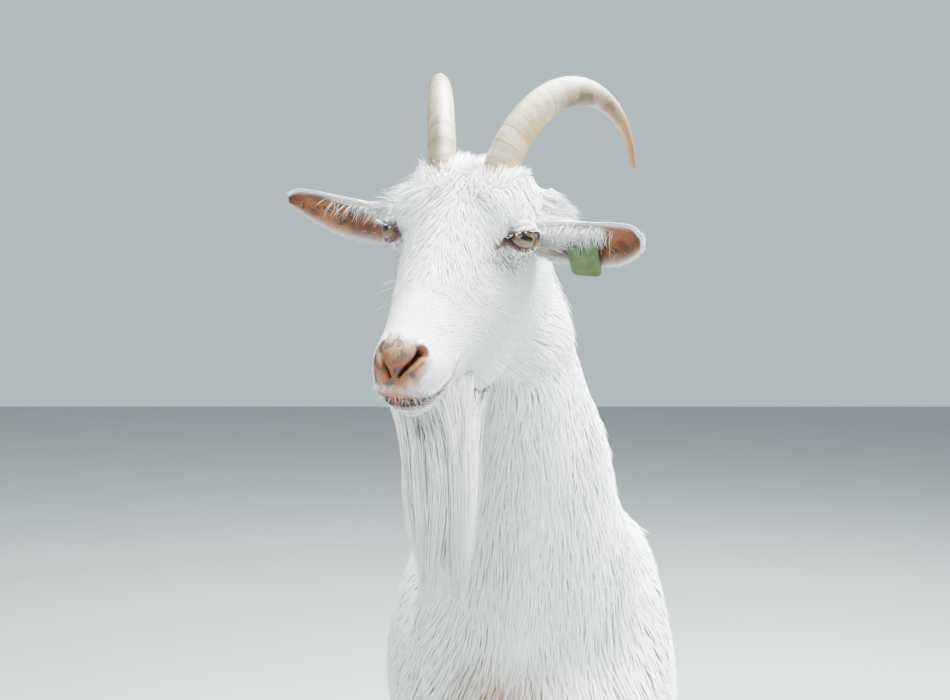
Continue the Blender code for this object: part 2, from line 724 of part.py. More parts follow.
def build_tag(pieces, colours):
    """Flap on the hollow side of the left ear, held by a rivet through the ear."""
    frame = tag_frame()
    back = -EAR_THICK
    front = TAG_STAND + TAG_THICK + GAP
    pin = turned("tag_rivet", frame, [
        (0.0080, back - 0.0040), (0.0080, back - 0.0014), (TAG_PIN_RADIUS, back - 0.0008),
        (TAG_PIN_RADIUS, front), (0.0055, front), (0.0055, front + 0.0020)], 12)
    hole = turned("hole", frame, [(TAG_PIN_RADIUS + GAP, -0.03), (TAG_PIN_RADIUS + GAP, 0.05)], 12)
    corners = (-0.0135, -0.0095, TAG_STAND), (0.0140, 0.0290, TAG_STAND + TAG_THICK)
    ear_left = pieces["ear_left"]
    boolean(ear_left, hole, "DIFFERENCE")
    room = cell("room", frame, *corners, GAP)
    boolean(ear_left, room, "DIFFERENCE")
    flap = cell("tag_flap", frame, *corners)
    boolean(flap, hole, "DIFFERENCE")
    discard(hole, room)
    for piece in (pin, flap):
        piece.data.materials.clear()
        piece.data.materials.append(colours["tag"])
        pieces[piece.name] = piece


def settle(pieces):
    """Puts the origin at the middle of the underside of the whole animal."""
    corners = [v.co for piece in pieces.values() for v in piece.data.vertices]
    low = Vector([min(c[i] for c in corners) for i in range(3)])
    high = Vector([max(c[i] for c in corners) for i in range(3)])
    shift = Vector((-(low.x + high.x) / 2, -(low.y + high.y) / 2, -low.z))
    for piece in pieces.values():
        piece.data.transform(Matrix.Translation(shift))
        piece.data.shade_smooth()
        piece.data.set_sharp_from_angle(angle=math.radians(50))
    print("size", [round(v, 4) for v in high - low], "shift", [round(v, 4) for v in shift])
    return shift


def main():
    clear_scene()
    colours = {
        "coat": material("white_coat", (0.86, 0.84, 0.79), 0.9),
        "beard": material("cream_beard", (0.84, 0.79, 0.68), 0.8),
        "ear": material("pink_ear_skin", (0.62, 0.36, 0.27), 0.7),
        "eye": material("amber_eye", (0.42, 0.24, 0.07), 0.1),
        "horn": material("beige_horn", (0.58, 0.49, 0.37), 0.5),
        "claw": material("grey_brown_claw", (0.30, 0.25, 0.19), 0.6),
        "tag": material("green_plastic", (0.22, 0.40, 0.13), 0.5),
    }
    pieces = build_flesh(colours)
    build_head_fittings(pieces, colours)
    build_claws(pieces, colours)
    build_tag(pieces, colours)
    shift = settle(pieces)
    print("head origin", [round(v, 4) for v in HEAD_ORIGIN + shift])
    count = 0
    for piece in pieces.values():
        piece.data.calc_loop_triangles()
        count += len(piece.data.loop_triangles)
        print(piece.name, len(piece.data.loop_triangles))
    print("triangles", count, "nodes", len(pieces))


main()
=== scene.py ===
import math

import bmesh
import bpy
import numpy as np
from mathutils import Matrix, Vector
from mathutils.bvhtree import BVHTree
from mathutils.kdtree import KDTree


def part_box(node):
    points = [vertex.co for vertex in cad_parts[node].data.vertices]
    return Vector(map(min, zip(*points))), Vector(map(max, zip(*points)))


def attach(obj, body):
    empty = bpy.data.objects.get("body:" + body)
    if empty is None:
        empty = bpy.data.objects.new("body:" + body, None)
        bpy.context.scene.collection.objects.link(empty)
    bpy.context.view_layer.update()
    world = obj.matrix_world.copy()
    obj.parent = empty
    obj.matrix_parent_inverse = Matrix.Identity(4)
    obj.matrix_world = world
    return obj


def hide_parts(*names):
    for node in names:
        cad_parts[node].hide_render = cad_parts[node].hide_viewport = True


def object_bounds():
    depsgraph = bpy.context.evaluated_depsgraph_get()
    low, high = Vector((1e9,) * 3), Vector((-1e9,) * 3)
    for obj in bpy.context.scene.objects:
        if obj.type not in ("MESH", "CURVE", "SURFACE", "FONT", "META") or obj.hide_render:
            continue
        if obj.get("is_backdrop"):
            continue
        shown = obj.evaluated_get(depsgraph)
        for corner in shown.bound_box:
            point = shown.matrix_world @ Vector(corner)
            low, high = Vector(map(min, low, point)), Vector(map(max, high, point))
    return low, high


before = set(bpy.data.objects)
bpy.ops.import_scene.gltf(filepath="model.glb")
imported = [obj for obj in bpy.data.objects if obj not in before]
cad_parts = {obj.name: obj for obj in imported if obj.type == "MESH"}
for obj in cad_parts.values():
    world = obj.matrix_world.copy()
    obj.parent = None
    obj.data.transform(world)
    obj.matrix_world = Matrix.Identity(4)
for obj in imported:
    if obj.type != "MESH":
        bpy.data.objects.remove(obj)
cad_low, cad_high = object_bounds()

# ============================================================ Floor, light and camera
# A plain pale studio floor and a broad soft light from above, like a bright cloudy sky, with a
# second soft panel in front. The camera stands at the height of the goat's eyes.


def linear(code):
    """An sRGB hex colour as linear red, green, blue and full alpha."""
    parts = [int(code[i:i + 2], 16) / 255 for i in (1, 3, 5)]
    return tuple(c / 12.92 if c <= 0.04045 else ((c + 0.055) / 1.055) ** 2.4 for c in parts) + (1.0,)


def new_material(name):
    """A material, its tree, which node adds to, and its shader."""
    made = bpy.data.materials.new(name)
    made.use_nodes = True
    return made, made.node_tree, made.node_tree.nodes["Principled BSDF"]


COLOURS = {"data_type": "RGBA"}


def node(kind, settings, *inputs, output=0, **named):
    """Adds a node with its settings, and gives one output. Inputs are numbers, hex colours or outputs."""
    made = tree.nodes.new("ShaderNode" + kind)
    for key, value in settings.items():
        setattr(made, key, value)
    pairs = list(zip((socket for socket in made.inputs if socket.enabled), inputs))
    for socket, value in pairs + [(made.inputs[key], value) for key, value in named.items()]:
        if isinstance(value, bpy.types.NodeSocket):
            tree.links.new(value, socket)
        else:
            socket.default_value = linear(value) if isinstance(value, str) else value
    return made.outputs[output] if output else next(socket for socket in made.outputs if socket.enabled)


def surface(colour, constants, rough=None, height=None, strength=0.5, deep=0.0006):
    """Joins colour, roughness and relief to the shader in hand, and sets its constants."""
    tree.links.new(colour, shader.inputs["Base Color"])
    for name, value in constants.items():
        shader.inputs[name].default_value = value
    if rough:
        tree.links.new(rough, shader.inputs["Roughness"])
    if height:
        relief = node("Bump", {}, Strength=strength, Distance=deep, Height=height)
        tree.links.new(relief, shader.inputs["Normal"])


def link_new(name, data):
    thing = bpy.data.objects.new(name, data)
    bpy.context.scene.collection.objects.link(thing)
    return thing


HEAD_TURN = math.radians(-22.0)      # towards the goat's right
HEAD_NOD = math.radians(27.2)        # nose down
HEAD_ROLL = math.radians(4.7)        # left side lower
EYES_IN_HEAD = Vector((0.0, -0.0906, 0.0243))  # midway between the eyes: out, back, up
CAMERA_FROM_HEAD = Vector((-0.0183, -1.2150, -0.0609))
CAMERA_DIP = math.radians(3.08)
CAMERA_LENS = 49.26
FLOOR_HALF = 9.0
FLOOR_GAP = 0.0002                   # keeps the soles off the board

head_axes = (Matrix.Rotation(HEAD_TURN, 4, "Z") @ Matrix.Rotation(HEAD_NOD, 4, "X")
             @ Matrix.Rotation(HEAD_ROLL, 4, "Y"))
eye_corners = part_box("eye_left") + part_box("eye_right")
head_origin = sum(eye_corners, Vector()) / 4 - head_axes @ EYES_IN_HEAD
head_frame = Matrix.Translation(head_origin) @ head_axes

camera = link_new("camera", bpy.data.cameras.new("camera"))
camera.data.lens = CAMERA_LENS
camera.location = head_origin + CAMERA_FROM_HEAD
camera.rotation_euler = (math.pi / 2 - CAMERA_DIP, 0.0, 0.0)
bpy.context.scene.camera = camera

# Matt painted board: no gloss, and a faint mottle so that it doesn't look like a void.
board, tree, shader = new_material("matt_painted_board")
mottle = node("TexNoise", {}, node("TexCoord", {}, output="Object"), 2.5, 5.0)
surface(node("Mix", COLOURS, mottle, "#969a9d", "#a0a4a6"), {"Roughness": 0.75})
bm = bmesh.new()
bmesh.ops.create_grid(bm, x_segments=2, y_segments=2, size=FLOOR_HALF)
floor_mesh = bpy.data.meshes.new("floor")
bm.to_mesh(floor_mesh)
bm.free()
floor_mesh.materials.append(board)
floor = link_new("floor", floor_mesh)
floor.location.z = cad_low.z - FLOOR_GAP
floor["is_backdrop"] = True

world = bpy.data.worlds.new("overcast_sky")
world.use_nodes = True
sky = world.node_tree.nodes["Background"].inputs
sky["Color"].default_value = linear("#b9ced2")
sky["Strength"].default_value = 1.22
bpy.context.scene.world = world
for name, place, aim, size, watts in (
        ("sky_panel", (0.9, 0.1, 3.1), (0.0, -0.2, 0.8), 2.4, 1280.0),
        ("front_panel", (-0.9, -3.2, 1.9), (0.0, -0.3, 0.9), 2.2, 80.0)):
    panel = link_new(name, bpy.data.lights.new(name, "AREA"))
    panel.data.size = size
    panel.data.energy = watts
    panel.data.color = linear("#fafffd")[:3]
    panel.location = place
    panel.rotation_euler = (Vector(aim) - Vector(place)).to_track_quat("-Z", "Y").to_euler()

# ============================================================ Skin
# The hide of the whole goat in one piece, from muzzle to tail. It lies inside the outline by the depth of
# the coat, and carries what shows bare: nose, lips, eyelids, tear grooves and the folds round them.
# The nostril openings and the crease over the upper lid are painted dark as shade.

head_turn = np.array(head_axes.to_3x3())
head_at = np.array(head_origin)


def in_head(points):
    """World points in the head's own directions, as forward, up and out towards its left."""
    local = (points - head_at) @ head_turn
    return np.stack([-local[:, 1], local[:, 2], local[:, 0]], 1)


def head_direction(rows):
    """World directions from forward, up and out shares."""
    return np.stack([rows[:, 2], -rows[:, 0], rows[:, 1]], 1) @ head_turn.T


def from_head(rows):
    """The reverse of in_head."""
    return head_direction(rows) + head_at


def smoothstep(x, low, high):
    t = np.clip((x - low) / (high - low), 0.0, 1.0)
    return t * t * (3 - 2 * t)


def bell(x, width):
    return np.exp(-(x / width) ** 2)


def far(rows, place):
    """How far each row lies from a place."""
    return np.linalg.norm(rows - place, axis=-1)


def unit(rows):
    return rows / np.maximum(np.linalg.norm(rows, axis=-1, keepdims=True), 1e-9)


def read(what, field, width=3, kind=np.float32):
    out = np.zeros(len(what) * width, kind)
    what.foreach_get(field, out)
    return out.reshape(-1, width).astype(float if kind == np.float32 else int)


def state_of(mesh):
    """A mesh's points, the pairs of points that its edges join, and its points' normals."""
    return (read(mesh.vertices, "co"), read(mesh.edges, "vertices", 2, np.int32),
            read(mesh.vertices, "normal"))


def relaxed(values, edges, rounds, share=None):
    """Each value drawn to the mean of its neighbours, the given number of rounds."""
    shape, count = values.shape, len(values)
    values = values.reshape(count, -1).copy()
    ties = np.maximum(np.bincount(edges.ravel(), minlength=count), 1)[:, None]
    for _ in range(rounds):
        total = np.stack([np.bincount(edges[:, 0], column[edges[:, 1]], count)
                          + np.bincount(edges[:, 1], column[edges[:, 0]], count) for column in values.T], 1)
        step = 0.5 * (total / ties - values)
        values += step if share is None else step * share[:, None]
    return values.reshape(shape)


def set_points(mesh, points):
    mesh.vertices.foreach_set("co", points.astype(np.float32).ravel())
    mesh.update()


LEGS = [f"{limb}_{part}_{side}" for limb in ("foreleg", "hindleg")
        for part in ("upper", "lower") for side in ("left", "right")]
FLESH = ["head", "neck", "trunk", "tail"] + LEGS
SKIN_VOXEL = 0.0066

bm = bmesh.new()
face_node = []                       # each face's place in FLESH; the eyes count as head
for index, name in enumerate(FLESH + ["eye_left", "eye_right"]):
    bm.from_mesh(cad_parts[name].data)
    face_node += [index if index < len(FLESH) else 0] * (len(bm.faces) - len(face_node))
flesh_tree = BVHTree.FromBMesh(bm)
flesh_mesh = bpy.data.meshes.new("flesh")
bm.to_mesh(flesh_mesh)
bm.free()
flesh = link_new("flesh", flesh_mesh)
closing = flesh.modifiers.new("closing", "REMESH")
closing.mode = "VOXEL"
closing.voxel_size = SKIN_VOXEL
skin_mesh = bpy.data.meshes.new_from_object(flesh.evaluated_get(bpy.context.evaluated_depsgraph_get()))
skin_mesh.name = "skin"
bpy.data.objects.remove(flesh)

EYE_RADIUS = 0.0145
EYE_OUT = 0.0565
EYE_CENTRE = np.array([-EYES_IN_HEAD.y, EYES_IN_HEAD.z, EYE_OUT])   # forward, up, out
NOSTRIL = np.array([[0.2375, -0.0050, 0.0250], [0.2470, -0.0105, 0.0195], [0.2540, -0.0185, 0.0075],
                    [0.2568, -0.0226, 0.0038]])
MOUTH = ((0.174, -0.0345), (0.190, -0.0370), (0.202, -0.0402), (0.2120, -0.0482), (0.235, -0.0500),
         (0.250, -0.0475), (0.262, -0.0435))


def mirrored(local):
    """Head points with both sides folded onto the left one."""
    return local * [1, 1, 0] + np.abs(local) * [0, 0, 1]


def over_mouth(side):
    """Height over the line of the mouth."""
    return side[:, 1] - np.interp(side[:, 0], *np.transpose(MOUTH))


# the head's skin is made finer in four rounds, the last two only near the eyes, nostrils and mouth
points, edges, _ = state_of(skin_mesh)
set_points(skin_mesh, relaxed(points, edges, 4))
for reach in (0.25, 0.12, 0.024, 0.009):
    local = in_head(state_of(skin_mesh)[0])
    if reach > 0.1:
        chosen = (local[:, 0] > 0.13 - reach) & (far(local, 0) < 0.28)
    else:
        side = mirrored(local)
        chosen = (far(side, EYE_CENTRE) < reach + 0.012) | (far(side, NOSTRIL[1]) < reach + 0.006)
        chosen |= (side[:, 0] > 0.178) & (np.abs(over_mouth(side)) < reach * 0.4)
    bm = bmesh.new()
    bm.from_mesh(skin_mesh)
    halved = [e for e in bm.edges if chosen[e.verts[0].index] and chosen[e.verts[1].index]]
    bmesh.ops.subdivide_edges(bm, edges=halved, cuts=1, use_grid_fill=True)
    bm.to_mesh(skin_mesh)
    bm.free()
    points, edges, _ = state_of(skin_mesh)
    near_head = smoothstep(-far(in_head(points), [0.1, 0, 0]), -0.24, -0.18)
    set_points(skin_mesh, relaxed(points, edges, 3, near_head))

points, edges, normals = state_of(skin_mesh)
local = in_head(points)
part_of = np.array([face_node[flesh_tree.find_nearest(Vector(p))[2]] for p in points])


def share_of(names):
    """How much each skin point belongs to the named parts, blended over their borders."""
    return relaxed(np.isin(part_of, [FLESH.index(n) for n in names]).astype(float), edges, 12)


on_head, on_neck, on_tail, on_lower_leg, on_upper_leg = (share_of(names) for names in (
    ["head"], ["neck"], ["tail"], [n for n in LEGS if "lower" in n], [n for n in LEGS if "upper" in n]))
on_trunk = np.clip(1 - on_head - on_neck - on_tail - on_lower_leg - on_upper_leg, 0, 1)

# depth of the coat over the skin, in metres, least on muzzle, eyelids and lower legs
muzzle_share = smoothstep(local[:, 0], 0.150, 0.215)
depth = relaxed(sum(deep * share for deep, share in (
    (0.0034, on_head * (1 - muzzle_share)), (0.0015, on_head * muzzle_share), (0.0080, on_neck),
    (0.0065, on_trunk), (0.0055, on_tail), (0.0045, on_upper_leg), (0.0022, on_lower_leg))), edges, 20)
depth *= smoothstep(far(mirrored(local), EYE_CENTRE), 0.012, 0.034) * 0.75 + 0.25
points -= normals * depth[:, None]
set_points(skin_mesh, points)


def nearest_on_line(local, line):
    """Distance to a line of points and how far along it, from 0 to 1."""
    line = np.asarray(line)
    best, along = np.full(len(local), 9.0), np.zeros(len(local))
    for i, step in enumerate(np.diff(line, axis=0)):
        t = np.clip(((local - line[i]) @ step) / (step @ step), 0, 1)
        off = far(local, line[i] + t[:, None] * step)
        along = np.where(off < best, (i + t) / (len(line) - 1), along)
        best = np.minimum(off, best)
    return best, along


# the eye's own directions: gaze out of the head, inner towards the tear groove, and lift
LID_TILT = math.radians(17.0)        # the tear corner's rise over the line of the muzzle
LID_HALF = 0.0128                    # half the length of the opening between the lids
LID_BACK = 0.0005                    # the opening's middle, towards the tear groove
LID_RISE = 0.0064                    # height of the upper lid's edge over the opening's line
LID_DIP = 0.0070
gaze = unit(np.array([0.57, 0.07, 0.82]))
inner = unit(np.array([1.0, 0.0, 0.0]) - gaze * gaze[0])
lift = np.cross(gaze, inner)
inner, lift = (inner * math.cos(LID_TILT) + lift * math.sin(LID_TILT),
               lift * math.cos(LID_TILT) - inner * math.sin(LID_TILT))


def eye_opening(side):
    """Distance outside the almond between the lids, height on the eyeball, and whether it's in front."""
    ray = unit(side - EYE_CENTRE)
    a, b = ray @ inner * EYE_RADIUS - LID_BACK, ray @ lift * EYE_RADIUS
    edge = np.where(b > 0, LID_RISE, LID_DIP) * np.sqrt(np.clip(1 - (a / LID_HALF) ** 2, 0, 1))
    beyond = np.abs(a) - LID_HALF
    gap = np.where(beyond < 0, np.abs(b) - edge, np.hypot(beyond, b))
    front = ray @ gaze
    return np.where(front > 0.05, gap, 0.03), b, front


local = in_head(points)
side = mirrored(local)
gap, b, front = eye_opening(side)
from_eye = far(side, EYE_CENTRE)
lid_radius = (EYE_RADIUS - 0.0035) + smoothstep(gap, -0.0012, 0.0004) * 0.0049
lid_radius += 0.0007 * bell(gap - 0.0012, 0.0009)
crease = -0.0007 * bell(gap - 0.0045, 0.0011) * (b > 0) - 0.0006 * bell(gap - 0.0040, 0.0012) * (b <= 0)
crease += 0.0003 * bell(gap - 0.0068, 0.0016)
blend_out = smoothstep(gap, 0.0035, 0.0120)
wanted = lid_radius * (1 - blend_out) + from_eye * blend_out + crease
wanted = np.where((from_eye < 0.040) & (front > 0.05), wanted, from_eye)
side = EYE_CENTRE + unit(side - EYE_CENTRE) * wanted[:, None]
flip = np.where(local[:, 2:] < 0, -1, 1) * [0, 0, 1] + [1, 1, 0]
points = from_head(side * flip)
set_points(skin_mesh, points)
normals = state_of(skin_mesh)[2]
side = mirrored(side)


def on_surface(line):
    return np.array([side[np.argmin(far(side, place))] for place in line])


tear_start = EYE_CENTRE + (0.93 * inner + 0.36 * gaze) * EYE_RADIUS
TEAR_GROOVE = on_surface([tear_start, tear_start + 0.0090 * inner - 0.0045 * lift,
                          tear_start + 0.0180 * inner - 0.0104 * lift])
tear_far, tear_along = nearest_on_line(side, TEAR_GROOVE)
sink = 0.0016 * bell(tear_far, 0.0016) * (1 - 0.5 * tear_along)
nostril_far, nostril_along = nearest_on_line(side, on_surface(NOSTRIL))
nostril_wide = 0.0038 - 0.0027 * nostril_along ** 0.5
nostril_open = smoothstep(bell(nostril_far, nostril_wide * 1.2), 0.30, 0.75)
nostril_rim = bell(nostril_far, 0.0095)
sink += 0.0120 * bell(nostril_far, nostril_wide) * (1 - 0.50 * nostril_along)
sink -= 0.0006 * bell(nostril_far - 2.0 * nostril_wide, 0.0018)
mouth_far = over_mouth(side)
mouth_on = smoothstep(side[:, 0], 0.193, 0.202)
sink += 0.0038 * bell(mouth_far, 0.0017) * mouth_on
sink -= 0.0009 * (bell(mouth_far - 0.0042, 0.0026) + bell(mouth_far + 0.0045, 0.0028)) * mouth_on
philtrum = bell(side[:, 2], 0.0011) * smoothstep(side[:, 0], 0.243, 0.250)
philtrum *= smoothstep(side[:, 1], -0.045, -0.040) * smoothstep(-side[:, 1], 0.012, 0.020)
sink += 0.0016 * philtrum
points -= normals * sink[:, None]
muzzle_fine = smoothstep(side[:, 0], 0.19, 0.22) * smoothstep(nostril_far, 0.002, 0.006)
points = relaxed(points, edges, 1, muzzle_fine)
set_points(skin_mesh, points)
normals = state_of(skin_mesh)[2]

CLAW_TOE = 0.0362                    # from a claw's middle to its toe
CLAW_SPREAD = 0.0106                 # from the foot's middle line to a claw's middle
CLAW_HALF = 0.0130
DEWCLAW_HEIGHT = 0.078
feet = []                            # words, which way is outwards, and the foot's middle
for kind in ("fore", "hind"):
    for word, way in (("left", 1), ("right", -1)):
        claw_low, claw_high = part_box(f"claw_{kind}_{word}_outer")
        foot_x = (claw_high.x if way > 0 else claw_low.x) - way * (CLAW_SPREAD + CLAW_HALF)
        feet.append((kind, word, way, foot_x, claw_low.y + CLAW_TOE))
DEWCLAWS = [(x + out * 0.0108, y + {"fore": 0.048, "hind": 0.050}[kind])
            for kind, _, _, x, y in feet for out in (-1, 1)]


def markings(points):
    """Shares of each bare or stained place at world points, the same for skin and coat; the crease over the
    upper lid carries painted shade.
    """
    local = in_head(points)
    side = mirrored(local)
    ahead, high, out = side.T
    ragged = (np.sin(local[:, 0] * 410 + 3 * np.sin(local[:, 2] * 290)) + np.sin(local[:, 2] * 530
              + 2 * np.sin(local[:, 1] * 370))) * 0.055
    pad = far((local - [0.2475, -0.0125, -0.0080]) / [0.0240, 0.0222, 0.0350], 0) + ragged
    lip_high = over_mouth(side)
    towards_front = smoothstep(ahead, 0.200, 0.245)
    lip_band = bell(lip_high + 0.0036 * towards_front, 0.0044 + 0.0038 * towards_front)
    under_nose = bell(out, 0.027) * smoothstep(ahead, 0.236, 0.248) * smoothstep(high, -0.052, -0.040)
    lip = lip_band * smoothstep(ahead, 0.192, 0.200) + 0.8 * under_nose
    gap, b, front = eye_opening(side)
    by_eye = (front > 0.05) & (far(side, EYE_CENTRE) < 0.03)
    lids = (1 - smoothstep(gap, 0.0010, 0.0050)) * by_eye
    lid_fur = (1 - smoothstep(gap, 0.0035, 0.0075)) * (b > 0) * by_eye
    # fold: the crease over the upper lid, painted grey through round_eye as painted shade
    fold = bell(gap - 0.0062, 0.0011) * (b > 0) * (front > 0.2) * by_eye
    above = nearest_on_line(side, [[0.1060, 0.0330, 0.0500], [0.0900, 0.0400, 0.0560]])[0]
    below = nearest_on_line(side, [[0.1180, 0.0130, 0.0480], [0.0850, 0.0070, 0.0640]])[0]
    tear_far, tear_along = nearest_on_line(side, TEAR_GROOVE)
    dewclaw = np.max([bell(far(points, [x, y, DEWCLAW_HEIGHT]), 0.0125) for x, y in DEWCLAWS], axis=0)
    low_breast = bell(points[:, 0] + 0.012, 0.048) * smoothstep(-points[:, 2], -0.710, -0.650)
    low_breast *= smoothstep(-points[:, 1], 0.24, 0.34) * smoothstep(points[:, 2], 0.47, 0.58)
    return {"pad": 1 - smoothstep(pad, 0.80, 1.18), "lip": np.clip(lip, 0, 1), "lids": lids,
            "chin": bell(lip_high + 0.0155, 0.0085) * bell(out, 0.020) * smoothstep(ahead, 0.228, 0.242),
            "round_eye": np.max([bell(above, 0.0120), bell(below, 0.0125), fold, 0.85 * lid_fur], axis=0),
            "tear": smoothstep(bell(tear_far, 0.0088 - 0.0044 * tear_along), 0.20, 0.75),
            "bridge": bell(far((local - [0.2030, 0.0150, 0.0230]) / [0.0035, 0.02, 0.0045], 0), 1.0),
            "upper_lip": under_nose * smoothstep(lip_high, 0.002, 0.006), "lid_fur": lid_fur,
            "lower_lid": lids * smoothstep(-b, 0.0, 0.0020), "dewclaw": smoothstep(dewclaw, 0.35, 0.50),
            "stain": low_breast}


def store(mesh, name, values):
    """Stores a number, or a row of three, at each point."""
    flat = np.ndim(values) == 1
    spot = mesh.attributes.new(name, "FLOAT" if flat else "FLOAT_VECTOR", "POINT")
    spot.data.foreach_set("value" if flat else "vector", values.astype(np.float32).ravel())


marks = markings(points)
local = in_head(points)
# the nostril openings are painted near black below: painted shade inside the nostrils
marks["nostril"] = nostril_open
marks["nostril_rim"] = 0.85 * nostril_rim
marks["pad_low"] = smoothstep(-local[:, 1], 0.017, 0.027)
marks["pad_top"] = smoothstep(local[:, 1], -0.012, 0.004) * (1 - nostril_rim)
marks["dark_patch"] = smoothstep(bell(far(local, [0.2570, -0.0300, -0.0035]), 0.0065), 0.4, 0.7)
marks["pad"] = np.maximum(marks["pad"], smoothstep(nostril_rim, 0.35, 0.70))
bare = nostril_open + marks["pad"] + marks["lids"] + 0.9 * marks["lip"] + marks["tear"] + marks["dewclaw"]
bare = np.clip(bare, 0, 1)

# Ears: two cupped leaves of thin skin, rolled into a tube at the root, outside furred, inside nearly bare.
EAR_THICK = 0.0030
EAR_SAG = 0.016
EAR_STATIONS = ((-0.05, 0.0125, 150.0), (0.10, 0.0150, 125.0), (0.25, 0.0195, 85.0), (0.45, 0.0220, 56.0),
                (0.70, 0.0205, 46.0), (0.90, 0.0140, 38.0), (0.995, 0.0045, 30.0))
EAR_AROUND = 22
EAR_STEPS = 6
EAR_ROWS = (len(EAR_STATIONS) - 1) * EAR_STEPS + 1
EAR_RING = 2 * (EAR_AROUND + 1)
EAR_TIPS = {1: (0.1635, -0.1120, 0.0365), -1: (-0.1850, -0.0545, 0.0270)}


def smooth_rows(rows, steps):
    """More stations between the given ones, along a Catmull-Rom curve."""
    rows = np.array(rows, float)
    out = []
    for i in range(len(rows) - 1):
        before, start, end, after = rows[max(i - 1, 0)], rows[i], rows[i + 1], rows[min(i + 2, len(rows) - 1)]
        square, cube = 2 * before - 5 * start + 4 * end - after, 3 * start - before - 3 * end + after
        for t in np.arange(steps) / steps:
            out.append(0.5 * (2 * start + (end - before) * t + square * t * t + cube * t ** 3))
    return out + [rows[-1]]


def tube_faces(rows, ring):
    """Quads round a tube of rings, and a face over each end."""
    quads = [(i * ring + k, i * ring + (k + 1) % ring, (i + 1) * ring + (k + 1) % ring, (i + 1) * ring + k)
             for i in range(rows - 1) for k in range(ring)]
    return quads + [tuple(range(ring)), tuple(range((rows - 1) * ring, rows * ring))]


def ear_line(side):
    """An ear's root, its way to the tip, the way its hollow faces, the way across it, and its length."""
    root = np.array([side * 0.052, -0.048, 0.018])
    along = unit(EAR_TIPS[side] - root)
    faces = np.array([0.0, -0.98, -0.16])
    faces = unit(faces - along * (faces @ along))
    return root, along, faces, np.cross(along, faces), far(root, EAR_TIPS[side])


def ear_middle(side, at, radius):
    """The middle of an ear's curl at a station, on the head's own axes."""
    root, along, faces, across, length = ear_line(side)
    return (root + along * (at * length) + faces * (radius * 0.5)
            + across * EAR_SAG * side * math.sin(math.pi * max(0.0, at)))


def ear_mesh(side):
    """An ear's points, and how far each is along, across and inside its hollow, and its rows' middles."""
    _, _, faces, across, _ = ear_line(side)
    points, tags, middles = [], [], []
    for at, half, curl in smooth_rows(EAR_STATIONS, EAR_STEPS):
        spread = math.radians(curl)
        radius = half / math.sin(min(spread, math.pi / 2))
        middle = ear_middle(side, at, radius)
        thick = EAR_THICK * (1 - 0.35 * max(0.0, at - 0.6))
        middles.append(middle)
        for inside, order in ((0, range(EAR_AROUND + 1)), (1, range(EAR_AROUND, -1, -1))):
            for k in order:
                turn = -1 + 2 * k / EAR_AROUND
                edge = 1 - abs(turn) ** 6 * 0.55
                angle = spread * turn * (0.985 if inside else 1.0)
                reach = radius + thick * (0.5 - inside) * edge
                ridge = 0.0006 * math.cos(9 * turn) * inside * (1 - at)
                points.append(middle - faces * (reach + ridge) * math.cos(angle)
                              + across * reach * math.sin(angle))
                tags.append((at, turn * side, inside * edge))
    points, middles = (np.array(p) @ head_turn.T + head_at for p in (points, middles))
    return points, middles, np.array(tags)


bm = bmesh.new()
bm.from_mesh(skin_mesh)
ear_places = [ear_mesh(1), ear_mesh(-1)]
for ear_points, _, _ in ear_places:
    made = [bm.verts.new(p) for p in ear_points]
    new_faces = [bm.faces.new([made[i] for i in f]) for f in tube_faces(EAR_ROWS, EAR_RING)]
    bmesh.ops.recalc_face_normals(bm, faces=new_faces)
bm.to_mesh(skin_mesh)
bm.free()
ear_tags = np.concatenate([tags for _, _, tags in ear_places])
for name, values in marks.items():
    store(skin_mesh, name, np.concatenate([values, np.zeros(len(ear_tags))]))
store(skin_mesh, "in_ear", np.concatenate([np.zeros(len(points)), ear_tags[:, 2]]))
store(skin_mesh, "head_place", in_head(state_of(skin_mesh)[0]))
skin_mesh.shade_smooth()


def placed(name, mesh, material, slot, *cad_nodes):
    """A finished piece, riding on the model's one body, and the CAD nodes it replaces; the slot argument is
    not used.
    """
    mesh.materials.append(material)
    piece = link_new(name, mesh)
    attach(piece, "root")
    if cad_nodes:
        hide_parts(*cad_nodes)


SMOOTH = {"interpolation_type": "SMOOTHSTEP"}
PRODUCT = {"operation": "MULTIPLY"}

# Goat skin: bare hide is fine-grained and faintly oily on the nose, mottled where it's pigmented.
hide, tree, shader = new_material("goat_skin")
spot = node("Attribute", {"attribute_name": "head_place"}, output="Vector")
on = {name: node("Attribute", {"attribute_name": name}, output="Fac") for name in (
    "pad", "pad_top", "pad_low", "nostril_rim", "dark_patch", "nostril", "lip", "upper_lip", "lids",
    "lower_lid", "tear", "round_eye", "bridge", "stain", "chin", "dewclaw", "in_ear")}
fine, blotch, broad = (node("TexNoise", {}, spot, scale, detail, rough) for scale, detail, rough in (
    (260.0, 4.0, 0.5), (95.0, 3.0, 0.6), (40.0, 3.0, 0.5)))
mottled = {name: node("Mix", COLOURS, node("MapRange", SMOOTH, cloud, low, high), first, second)
           for name, cloud, low, high, first, second in (
               ("pad", fine, 0.30, 0.70, "#6e4b35", "#957052"),
               ("lip", blotch, 0.38, 0.58, "#74493c", "#2f2220"),
               ("ear", broad, 0.35, 0.65, "#54301d", "#8a5738"),
               ("tear", fine, 0.35, 0.65, "#563b31", "#8d6656"),
               ("lids", blotch, 0.42, 0.62, "#261c1b", "#4c3630"),
               ("lower_lid", blotch, 0.42, 0.62, "#3f2d2b", "#6b4c46"))}
patches = node("MapRange", SMOOTH, blotch, 0.51, 0.57)
patches = node("Math", {"operation": "MAXIMUM"}, patches, on["dark_patch"])
nose = mottled["pad"]
for share, paint in ((on["pad_top"], "#b09873"), (on["pad_low"], "#a67663"), (on["nostril_rim"], "#7a4024"),
                     (patches, "#4f4c44")):
    nose = node("Mix", COLOURS, share, nose, paint)
lips = node("Mix", COLOURS, on["upper_lip"], mottled["lip"], node("Mix", COLOURS, fine, "#a97a68", "#8a5c4c"))
